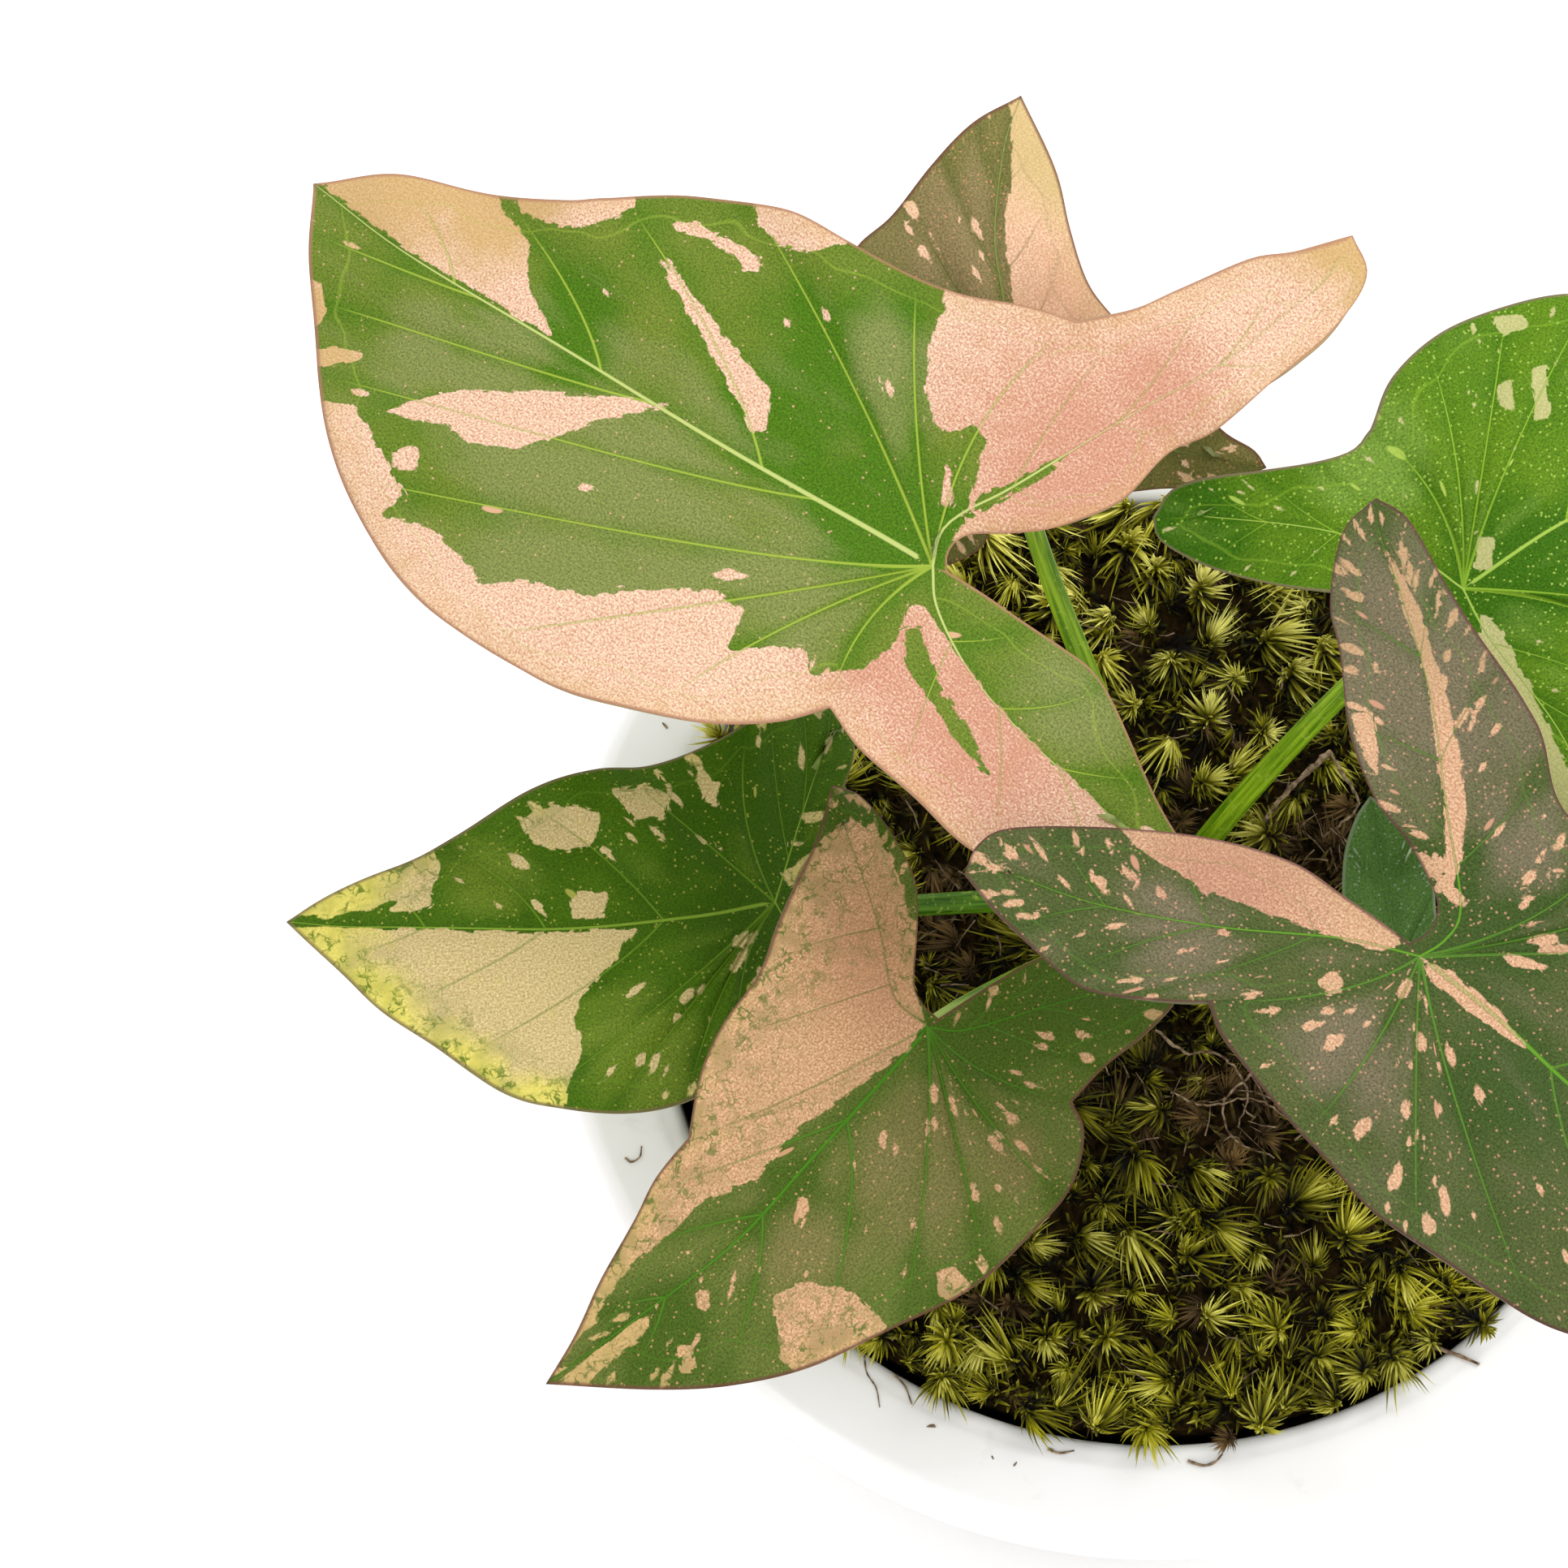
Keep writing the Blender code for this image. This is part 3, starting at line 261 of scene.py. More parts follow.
# Markings of each leaf in its own plane. "pale" are the outlines of patches that
# have no green, "green" those of green slivers inside them. Spots (place, radius)
# say where pale flesh turns olive or yellow ("warm") or pinker ("rose"), where green
# flesh is darker ("deep"), and where it carries a painted sheen: a lighter, greyer
# green that stands in for soft light reflected off the wax. "flecks" gives how
# many short pale dashes a blade has, and their longest half.
MARKS = {
    "a": dict(
        pale=[
            [(88.5, -1), (75.5, -7), (67, -9.5), (64, -7.5), (58, -5.5), (56.5, -2.5),
             (49, 2.5), (58, 2.5), (70.5, 2), (80.5, 0.5)],
            [(64.5, -11), (61.5, -8), (56, -8.5), (52, -10.5), (50, -14), (51, -17.5)],
            [(40.5, -24), (37.5, -20.5), (34, -19.5), (30, -20.5), (27.5, -23), (26.5, -26.5),
             (34, -27)],
            [(46.5, -15.5), (43, -17), (39, -17.5), (35, -17.5), (34, -16), (35.5, -15),
             (37.5, -16), (41, -16), (44.5, -15)],
            [(44, -11), (41.5, -9.5), (32, -5), (23.5, -0.5), (22.5, -1.5), (24.5, -5),
             (26.5, -6), (32, -7.5), (39.5, -10), (43, -11.5)],
            [(18.5, -28.5), (15, -24), (15, -21.5), (12, -16), (10, -13.5), (6.5, -12.5),
             (5, -15), (3.5, -15), (1, -8.5), (0, -3.5), (-9.5, -10.5), (-16, -23.5),
             (-22.5, -52.5), (-16.5, -63.5), (-6, -52.5), (2, -40), (5, -33.5)],
            [(5, -10), (3.5, -9), (1.5, -6.5), (3, -6), (4, -7.5)],
            [(79.5, 11), (76.5, 10), (74.5, 12), (73.5, 14), (75.5, 17)],
            [(73.5, 18), (69, 15.5), (66, 14.5), (66, 16), (71.5, 20.5)],
            [(58.5, 20), (56.5, 16), (54, 13.5), (46.5, 9.3), (35, 2.9), (32, 1.2), (38, 8.2),
             (43, 15.5), (48, 18.5), (51.5, 17.5), (55, 19)],
            [(68, 22.5), (65, 22.5), (62, 21), (57, 23.5), (54, 25), (50.5, 26.5), (52, 30),
             (48, 28.5), (45, 28), (39, 29.5), (36.5, 31), (33.5, 28), (26, 25), (21.5, 20.5),
             (15.5, 16.5), (12.5, 16.5), (11, 21), (5, 16), (3, 17.5), (-1, 14), (-2, 10),
             (-0.5, 5), (-1.5, 4), (-9.5, 7), (-17.5, 9), (-31, 10.5), (-41.5, 8.5),
             (-36.5, 18), (-28, 23), (-13.5, 25), (-5.5, 24), (-0.5, 21), (5.5, 30),
             (17, 36), (25.5, 38), (40.5, 39), (54.5, 35), (64, 27)],
            [(18, 16), (16.5, 14), (14, 13), (15.5, 15)],
            [(52.5, 21.5), (54.5, 23), (52.5, 25), (50.5, 23.5)]],
        green=[
            [(0, -6), (0.5, -9), (-1, -12), (-2.5, -15), (-4.5, -19), (-4.5, -16.5),
             (-2.5, -12), (-0.5, -7.5)],
            [(-1.6, 7.6), (-3.6, 10.2), (-6, 11.9), (-9, 12.5), (-12, 14.1), (-18, 15.1),
             (-14.3, 13), (-10.9, 11.4), (-7.5, 9.9), (-4.6, 7.6), (-3, 6)]],
        warm=[((80, -4), 14), ((64, -6), 7), ((-15, -59), 7), ((72, 17), 8)],
        painted_sheen=[((30, 18), 20), ((14, -16), 7), ((53, 7), 7), ((60, 11), 6), ((11, 12), 8),
              ((-20, 3), 7)],
        deep=[((8, -1), 8), ((21, -11), 9), ((48, 0), 6), ((20, -4), 7)],
        rose=[((-7, -18), 16), ((-8, -30), 8), ((-14, 11), 14), ((-2, 11), 8)],
        flecks=(34, 0.8)),
    "b": dict(
        pale=[[(43.5, 1), (33.5, 1.5), (25.5, 2.5), (17, 1.5), (6.5, -1), (2.5, -5.5),
               (7.5, -22), (17, -14.5), (21.5, -8), (34.5, -5), (44.5, -3)]],
        green=[],
        warm=[((38, -2), 9), ((40, 2), 5)],
        painted_sheen=[((24, 7), 10)],
        deep=[((12, 14), 8)],
        rose=[((17, -6), 8)],
        flecks=(90, 0.9)),
    "c": dict(
        pale=[
            [(56.5, 0.5), (43.5, 2.5), (32.5, 4), (25.5, 4.5), (16, 4), (20, 9.5), (23, 12.5),
             (23.5, 15.5), (23, 19), (25, 23.5), (26, 28.5), (37, 24.5), (49.5, 12)],
            [(54.5, -0.5), (50.5, -3), (46, -5), (38.5, -8), (37.5, -4), (38.5, -1.5),
             (38.5, 0.5), (46, 1)],
            [(28.5, -9), (24.5, -10.5), (19.5, -9.5), (20, -6), (23, -5), (27, -6)],
            [(18, -12), (13.5, -13), (11, -11.5), (12.5, -9), (15.5, -8.5)],
            [(7.5, -14), (5.5, -13.5), (6, -10.5), (7.5, -11)],
            [(23.5, 0), (19, -0.5), (19.5, 2.5), (23, 3)]],
        green=[[(53.5, 0.3), (46, 0.2), (42.5, -0.6), (44.5, 1.2), (47, 1.8)]],
        warm=[((52, -1), 8), ((47, 13), 6), ((38, 22), 6), ((28, 26), 4)],
        painted_sheen=[((16, 19), 8), ((32, -3), 5)],
        deep=[((2, -9), 10), ((0, 0), 9)],
        rose=[],
        flecks=(120, 1.05)),
    "d": dict(
        pale=[
            [(0, -0.5), (3, 0.5), (10, 0), (15.5, -0.5), (17.5, -1), (25, 0), (30.5, -2),
             (35.5, -2), (41.5, -2.5), (47.5, -1.5), (54.5, 0), (52, -3.5), (44, -6.5),
             (33, -11), (27.5, -11), (22, -16), (9.5, -20.5), (-4, -27), (-12, -32),
             (-15.5, -26.5), (-12.5, -11), (-2.5, -4.5)],
            [(57, 1), (54.5, 1), (42, 2.5), (46, 4), (49, 3.5), (54.5, 3)],
            [(32.5, 10.5), (29, 11.5), (26, 16), (25.5, 21.5), (29.5, 23), (35.5, 22),
             (36.5, 16)],
            [(18, 20.5), (16, 21.5), (16, 24), (18, 25.5), (19.5, 23)],
            [(43.5, 7.5), (42.5, 8.5), (44, 10.5), (45, 9.5)],
            [(38, 4.5), (37, 5.5), (38.5, 7), (39, 6)]],
        green=[[(-7, -30), (-14, -29), (-13.5, -18.5), (-11, -13), (-7.5, -9), (-6.8, -10.4),
                (-9, -13.9), (-10.3, -17.3), (-10.7, -20.4), (-9.9, -23.1), (-7.7, -23.4),
                (-5.4, -22.9), (-3, -23.5)]],
        warm=[((50, 0), 9), ((38, -9), 4)],
        painted_sheen=[((12, 11), 9), ((27, 9), 6), ((4, 17), 4)],
        deep=[((-13, 8), 9), ((-4, 5), 7), ((-11, -24), 7), ((44, 6), 6), ((24, 4), 5),
              ((18, 24), 5)],
        rose=[((-1, -9), 9)],
        flecks=(130, 0.9)),
    "e": dict(
        pale=[
            [(-26.6, 34.8), (-25.4, 34.6), (-19.4, 30.6), (-10.5, 22.1), (-5, 15.6), (-2.4, 10.7),
             (-1, 6.5), (-2.9, 8.6), (-6.6, 14.4), (-15, 24.4), (-23.5, 32.2)],
            [(-32, -6), (-23, 0.5), (-14.5, 3.5), (-9, 3), (-2, 0), (-3.5, -2), (-8, -3.5),
             (-15, -5.5), (-22, -7), (-28.5, -7)],
            [(0, 0), (3.5, 0.5), (9.5, 0), (13.5, -1.5), (11, -2), (6, -2), (2.5, -1.5)],
            [(-20, 17.5), (-18, 19), (-15.5, 16), (-14, 13.5), (-16.5, 14.5)],
            [(-5, 10), (-4, 10), (-2, 7), (-4, 8)],
            [(-6.5, -8.5), (-6, -6.5), (-4.5, -6.5), (-4, -8), (-5, -9)],
            [(5.5, 5), (8, 6), (11, 7), (11, 6.5), (7.5, 4.5)],
            [(-21.5, -2), (-21, -1), (-19.5, -1.5), (-20.5, -2.5)]],
        green=[],
        warm=[((-20, 32), 10)],
        painted_sheen=[((-16, 24), 16), ((0, 17), 7), ((-20, -12), 6), ((0, -14), 6), ((28, 8), 9)],
        deep=[((3, 8), 8), ((14, -7), 6)],
        rose=[((-20, -3), 10)],
        flecks=(260, 0.95)),
    "f": dict(
        pale=[
            [(0.5, -3), (1.5, -6), (1, -15), (0.5, -23.5), (-1, -34), (-3, -30), (-4, -17.5),
             (-3, -9.5)],
            [(12.5, 19), (14, 19), (12.5, 15.5), (11.5, 16.5)],
            [(16.5, 19), (18, 18.5), (15.5, 13), (14, 13.5)],
            [(15.5, 26.5), (19, 25.5), (18.5, 23.5), (15.5, 24)],
            [(3.5, 5), (5, 3.5), (3.5, 0.5), (2, 1.5)]],
        green=[],
        warm=[((0, -20), 14), ((15, 18), 12), ((3, 3), 4)],
        painted_sheen=[((-3, 17), 6)],
        deep=[((6, -1), 7), ((-22, 21), 6)],
        rose=[],
        flecks=(60, 0.45)),
    "g": dict(pale=[], green=[], warm=[], painted_sheen=[], deep=[], rose=[], flecks=(10, 0.4)),
}

# Colours of each leaf, how thickly it is sown with specks (0 to 1), how jagged the
# edges of its patches are in millimetres. "sheen" is the colour of a painted sheen on
# the green flesh, lighter and greyer, standing in for soft reflected light. "net" is for
# a leaf with a net of green veins in its pale flesh: how strong it is and how far it
# reaches in from the margin.
LEAF_LOOKS = {
    "a": dict(green="#6a7b29", deep="#486f0e", sheen="#7d8549", pale="#ecd1b1", blush="#c8967c",
              rose="#bd8068", warm="#c2a066", rib="#bfca76", vein="#9db43f", lip="#ab7b60",
              under="#98a26c", speck="#cfa580", specks=0.10, jag=0.9),
    "b": dict(green="#77713c", deep="#585c2a", sheen="#8d7b54", pale="#f0cda8", blush="#d8a585",
              rose="#d4a080", warm="#c9b076", rib="#7f8c44", vein="#78793f", lip="#6f4638",
              under="#8a9064", speck="#c98f67", specks=0.60, jag=0.9),
    "c": dict(green="#446608", deep="#375803", sheen="#667c22", pale="#d6c28c", blush="#b59f6a",
              rose="#b7a26e", warm="#d8cd5e", rib="#7fa030", vein="#65891f", lip="#7a6a48",
              under="#8a9864", speck="#9fa046", specks=0.50, jag=0.9, net=(0.85, 6.0)),
    "d": dict(green="#5f6b2d", deep="#435a16", sheen="#766f40", pale="#d9b086", blush="#ac8059",
              rose="#b58461", warm="#c0a367", rib="#437d14", vein="#4a7c1c", lip="#6a4236",
              under="#8a9064", speck="#bf9268", specks=0.45, jag=0.8, net=(0.95, 13.0)),
    "e": dict(green="#515a2f", deep="#3c5020", sheen="#736952", pale="#d6b08c", blush="#bd8e6a",
              rose="#ac7a64", warm="#b0906a", rib="#5f9426", vein="#55802a", lip="#5d3a38",
              under="#7f865d", speck="#bd8c70", specks=0.75, jag=0.6),
    "f": dict(green="#5b8014", deep="#3a6705", sheen="#76963a", pale="#cdc590", blush="#aeae6e",
              rose="#b0b271", warm="#b3b273", rib="#a5c650", vein="#8fb634", lip="#85705a",
              under="#94a46c", speck="#a6c052", specks=1.15, jag=0.7),
    "g": dict(green="#4f7033", deep="#3c5a22", sheen="#5f7352", pale="#b4b89c", blush="#a0a686",
              rose="#a0a686", warm="#b4b89c", rib="#527232", vein="#527232", lip="#7f8a6e",
              under="#6d7c56", speck="#84957a", specks=0.80, jag=0.4),
}

# Moss shoots: rings of (leaves, rise in degrees, length), from the outermost in. Tall
# shoots stand over an understorey of smaller ones, painted duller as painted shade.
# Some grow along the rim and hang over it, and a dead one lies there in front. The
# "tries" are how many places are drawn before those too near to others are left out.
SHOOT_RINGS = ((12, -18, 3.5), (15, 4, 4.1), (16, 25, 4.1), (14, 45, 3.7),
               (11, 64, 3.1), (7, 81, 2.4))
LOW_SHOOT_RINGS = ((12, 2, 3.7), (14, 28, 3.6), (12, 54, 3), (6, 78, 2.2))
SHOOT_SPACING = 4.5
LOW_SHOOT_SPACING = 3.5
RIM_SHOOT_COUNT = 78
RIM_SHOOT_RADIUS = 55.5
DEAD_SHOOT = (8.4, -57.0)
SHOOT_TRIES = 16000
UNDERGROWTH_COUNT = 7000
UNDERGROWTH_RIM = (52.0, 55.7)
UNDERGROWTH_RIM_SHARE = 0.3
STRAW_TRIES = 900
STALK_SIDES = 28

# Places in plan of the brown, half-dead moss: centre and radius.
DRY_SPOTS = (((9, -17), 11), ((-23, 6), 9), ((20, 12), 9), ((2, 14), 8))

# Dry stems lying on the moss: plan points, and their height above the cushion.
DRY_STEMS = {
    "dry_stem_fork_left": ([(21.6, 24.5), (18.1, 21), (14.7, 17.4), (12.2, 13.4)], 5.2, 0.42),
    "dry_stem_fork_right": ([(21.6, 24.5), (23.4, 21), (24.8, 17.9), (22.8, 15.9),
                             (20.8, 14.4)], 5, 0.26),
    "dead_root_a": ([(0.5, -9.5), (4, -12.5), (7.5, -12.5), (11, -16.5), (10, -20.5)],
                    4.6, 0.22),
    "dead_root_b": ([(14.5, -13.5), (11, -15.5), (8, -19), (9.5, -23), (14, -24.5)],
                    4.8, 0.20),
    "dead_root_c": ([(2, -17), (6, -19), (11.5, -18), (16, -20)], 5.1, 0.16),
}

TWIG_BENDS = 25

# Twigs and roots lying on the rim's inner edge: plan points and radius.
RIM_TWIGS = {
    "rim_twig_right": ([(29.5, -45.6), (33, -46.6), (37.2, -48.6)], 0.34),
    "rim_root_front": ([(-33.6, -47.2), (-33.4, -49.4), (-32.3, -51.3), (-31.9, -53.6)], 0.11),
    "rim_twig_front": ([(-30.2, -49.6), (-29, -51), (-28.2, -53.2)], 0.16),
    "rim_twig_middle": ([(-12.6, -58.4), (-11.3, -58.9), (-9.6, -58.6)], 0.20),
    "rim_sliver_front": ([(3.4, -59.8), (5.1, -60.4), (6.5, -60), (7.4, -59)], 0.22),
    "rim_curl_left": ([(-61.4, -24), (-60.7, -24.5), (-59.7, -23.9), (-59.5, -22.6)], 0.14),
}

# Bits of bark fallen on the rim: plan place, length, and turn in degrees.
RIM_BITS = {
    "bark_bit_front_left": ((-26, -55.8), 1.2, 10),
    "bark_bit_front": ((-19, -59.4), 0.6, 120),
    "bark_bit_front_right": ((-16.4, -60.2), 0.8, 60),
    "bark_bit_right": ((47, -44), 0.8, 60),
    "bark_bit_left": ((-63, -11), 0.9, 75),
    "bark_bit_far": ((-57, 29), 1.2, 140),
    "bark_bit_far_right": ((30, 57), 1, 30),
}


# Materials.

def linear(code):
    """Turn an sRGB hex colour into linear red, green, blue and alpha."""
    values = [int(code[i:i + 2], 16) / 255 for i in (1, 3, 5)]
    return (*[v / 12.92 if v < 0.04045 else ((v + 0.055) / 1.055) ** 2.4 for v in values], 1.0)


def add(tree, kind, inputs=None, **settings):
    """Add a node with its settings; an input takes a value or another node's output."""
    made = tree.nodes.new(kind)
    for name, value in settings.items():
        setattr(made, name, value)
    for key, value in (inputs or {}).items():
        if isinstance(value, bpy.types.NodeSocket):
            tree.links.new(value, made.inputs[key])
        else:
            made.inputs[key].default_value = value
    return made


def maths(tree, operation, *values):
    """Result of an operation on numbers that vary over the surface."""
    return add(tree, "ShaderNodeMath", dict(enumerate(values)), operation=operation).outputs[0]


def mapped(tree, value, start, end, low=0.0, high=1.0):
    """Turn a number's range from start to end into one from low to high, clamped."""
    return add(tree, "ShaderNodeMapRange",
               {0: value, 1: start, 2: end, 3: low, 4: high}).outputs[0]


def mixed(tree, share, first, second, blend="MIX"):
    """Mix two colours, each a hex code or another node's output."""
    colours = [linear(c) if isinstance(c, str) else c for c in (first, second)]
    return add(tree, "ShaderNodeMix", {0: share, 6: colours[0], 7: colours[1]},
               data_type="RGBA", blend_type=blend).outputs[2]


def noise(tree, place, scale, detail, roughness=0.5):
    """Cloudy pattern between 0 and 1."""
    return add(tree, "ShaderNodeTexNoise", {"Vector": place, "Scale": scale, "Detail": detail,
                                            "Roughness": roughness}).outputs["Fac"]


def cells(tree, place, scale, channel):
    """Distance to the middle of each cell of a pattern, and one random number a cell."""
    pattern = add(tree, "ShaderNodeTexVoronoi", {"Vector": place, "Scale": scale})
    parts = add(tree, "ShaderNodeSeparateColor", {0: pattern.outputs["Color"]}).outputs
    return pattern.outputs["Distance"], parts[channel]


def dotted(tree, place, scale, channel, picked, sizes, soft, strength=1.0):
    """Share of round dots, one in each cell whose random number is above "picked". Sizes
    and soft edge are shares of a cell."""
    distance, pick = cells(tree, place, scale, channel)
    size = mapped(tree, pick, picked, 1.0, *sizes)
    inside = maths(tree, "SUBTRACT", size, distance)
    return mapped(tree, inside, 0.0, soft, 0.0, strength)


def new_finish(name, roughness, ior, specular=0.5):
    """Start a material; its shader's own sockets hold what is the same all over."""
    material = bpy.data.materials.new(name)
    material.use_nodes = True
    tree = material.node_tree
    shader = tree.nodes["Principled BSDF"]
    shader.inputs["Roughness"].default_value = roughness
    shader.inputs["IOR"].default_value = ior
    shader.inputs["Specular IOR Level"].default_value = specular
    return material, tree, shader


def emboss(tree, shader, height, distance, strength=1.0):
    """Raise fine relief, its depth in metres."""
    bump = add(tree, "ShaderNodeBump", {"Height": height, "Distance": distance,
                                        "Strength": strength})
    tree.links.new(bump.outputs[0], shader.inputs["Normal"])


def position(tree):
    """Place of a point in metres."""
    return add(tree, "ShaderNodeNewGeometry").outputs["Position"]


def read_vector(tree, name):
    """Read a vector that the mesh keeps: the whole and its three numbers."""
    vector = add(tree, "ShaderNodeAttribute", attribute_name=name).outputs["Vector"]
    return (vector, *add(tree, "ShaderNodeSeparateXYZ", {0: vector}).outputs)


def patch_share(tree, look, reads, cloud):
    """Share of flesh without green, in patches and long dashes. They end on whole
    cells about a millimetre wide, so their edges are jagged."""
    _, patch, fleck, _ = reads["leaf_marks"]
    cell = cells(tree, reads["leaf_place"][0], 0.85, 0)[1]
    edge = maths(tree, "MULTIPLY_ADD", cell, look["jag"] * 0.55, patch)
    edge = maths(tree, "MULTIPLY_ADD", cloud, look["jag"], edge)
    half = look["jag"] * 0.775
    in_patch = mapped(tree, edge, half - 0.07, half + 0.07)
    dash = maths(tree, "MULTIPLY_ADD", cell, 0.35, fleck)
    return maths(tree, "MAXIMUM", in_patch, mapped(tree, dash, 0.12, 0.26))


def speck_share(tree, look, reads):
    """Share of pale specks: dots, and small dashes 2.4 times as long as they are wide
    that lie along the veins."""
    stretch = add(tree, "ShaderNodeMapping", {0: reads["leaf_flow"][0], 3: (1.0, 0.42, 0.0)},
                  vector_type="POINT").outputs[0]
    specks = look["specks"]
    small = dotted(tree, stretch, 0.42, 1, 1.0 - 0.45 * specks, (0.0, 0.24), 0.05)
    dots = dotted(tree, reads["leaf_place"][0], 2.0, 2, 1.0 - 0.6 * specks, (0.02, 0.34), 0.10,
                  0.75)
    return maths(tree, "MAXIMUM", small, dots)


def green_flesh(tree, look, reads, mottle):
    """Green flesh: painted shade along the veins and the midrib, deeper in clouds, a
    painted sheen of lighter, greyer green in streaks between the veins, a fine grain,
    and pale specks."""
    _, painted_sheen, deep, _ = reads["leaf_tint_and_sheen"]
    _, phase, _, rib = reads["leaf_veins"]
    # Painted shade: the flesh is drawn darker in the grooves along the side veins and the midrib.
    by_vein = mapped(tree, maths(tree, "PINGPONG", phase, 0.5), 0.0, 0.24, 0.42, 0.0)
    by_rib = mapped(tree, rib, 1.0, 14.0, 0.42, 0.0)
    painted_vein_shade = maths(tree, "MAXIMUM", by_vein, by_rib)
    cloud = noise(tree, reads["leaf_place"][0], 0.12, 3.0)
    dark = maths(tree, "ADD", maths(tree, "MULTIPLY_ADD", cloud, 1.7, deep), painted_vein_shade)
    green = mixed(tree, mapped(tree, dark, 0.70, 1.65), look["green"], look["deep"])
    # Painted sheen: a lighter, greyer green in streaks and in the sheen spots, kept out of the
    # shaded grooves.
    streak = noise(tree, reads["leaf_flow"][0], 0.10, 3.0)
    painted_sheen_share = maths(tree, "SUBTRACT", maths(tree, "MULTIPLY_ADD", streak, 1.8, painted_sheen), painted_vein_shade)
    green = mixed(tree, mapped(tree, painted_sheen_share, 0.95, 1.80, 0.0, 0.85), green, look["sheen"])
    green = mixed(tree, 0.42, green, mottle, "OVERLAY")
    return mixed(tree, speck_share(tree, look, reads), green, look["speck"])


def net_share(tree, look, reads, mottle):
    """Share of green in the pale flesh: a crooked, broken net of the finest veins, with
    cells about a millimetre wide, and a bloom of green along the margin."""
    place = reads["leaf_place"][0]
    strength, reach = look["net"]
    crook = add(tree, "ShaderNodeTexNoise", {"Vector": place, "Scale": 0.9, "Detail": 2.0})
    crooked = add(tree, "ShaderNodeVectorMath", {0: crook.outputs["Color"], 1: (2.2, 2.2, 0.0),
                                                 2: place}, operation="MULTIPLY_ADD")
    lines = add(tree, "ShaderNodeTexVoronoi", {"Vector": crooked.outputs[0], "Scale": 0.85},
                feature="DISTANCE_TO_EDGE").outputs["Distance"]
    broken = mapped(tree, noise(tree, place, 0.55, 2.0), 0.42, 0.58)
    drawn = maths(tree, "MULTIPLY", mapped(tree, lines, 0.14, 0.03), broken)
    bloom = mapped(tree, noise(tree, place, 0.30, 3.0), 0.45, 0.62, 0.0, 0.7)
    either = maths(tree, "MAXIMUM", drawn, maths(tree, "MULTIPLY", bloom, mottle))
    near = mapped(tree, reads["leaf_flow"][3], reach, 1.0, 0.0, strength)
    return maths(tree, "MULTIPLY", either, near)


def pale_flesh(tree, look, reads, mottle, cloud):
    """Flesh without green: cream and blush grains half a millimetre across, pinker or
    olive in places, with the green net of some leaves."""
    pale = mixed(tree, mottle, look["blush"], look["pale"])
    rose = maths(tree, "MULTIPLY_ADD", cloud, 0.9, reads["leaf_tint_and_sheen"][3])
    rose = maths(tree, "MULTIPLY_ADD", mottle, -0.8, rose)
    pale = mixed(tree, mapped(tree, rose, 0.0, 1.1, 0.0, 0.8), pale, look["rose"])
    edge = mapped(tree, reads["leaf_flow"][3], 0.2, 3.5, 0.4, 0.0)
    warm = maths(tree, "ADD", edge, reads["leaf_marks"][3])
    warm = maths(tree, "MULTIPLY_ADD", cloud, 0.8, warm)
    pale = mixed(tree, mapped(tree, warm, 0.45, 1.3, 0.0, 0.85), pale, look["warm"])
    pale = mixed(tree, 0.30, pale, mottle, "SOFT_LIGHT")
    if "net" in look:
        pale = mixed(tree, net_share(tree, look, reads, mottle), pale, look["green"])
    return pale


def vein_share(tree, reads):
    """Share of side vein, which lie at whole numbers of the phase and end in a faint
    vein that runs round the blade a few millimetres inside its margin."""
    _, phase, vein_gap, _ = reads["leaf_veins"]
    lip = reads["leaf_flow"][3]
    aside = maths(tree, "MULTIPLY", maths(tree, "PINGPONG", phase, 0.5), vein_gap)
    vein = maths(tree, "MULTIPLY", mapped(tree, aside, 1.5, 0.6), mapped(tree, lip, 1.5, 6.0))
    sway = noise(tree, reads["leaf_place"][0], 0.12, 1.0)
    loop = maths(tree, "SUBTRACT", maths(tree, "MULTIPLY_ADD", sway, 5.0, lip), 5.6)
    in_loop = mapped(tree, maths(tree, "ABSOLUTE", loop), 0.20, 0.06, 0.0, 0.35)
    return maths(tree, "MAXIMUM", vein, in_loop)


def leaf_relief(tree, reads, grain, vein, in_rib):
    """Relief in millimetres: grain, quilting between the finest veins, grooves along
    the side veins and a raised midrib."""
    quilt = add(tree, "ShaderNodeTexVoronoi", {"Vector": reads["leaf_place"][0], "Scale": 0.55},
                feature="SMOOTH_F1", voronoi_dimensions="2D")
    relief = maths(tree, "MULTIPLY", grain, 0.07)
    for height, depth in ((quilt.outputs["Distance"], -0.07), (vein, -0.10), (in_rib, 0.14)):
        relief = maths(tree, "MULTIPLY_ADD", height, depth, relief)
    return relief


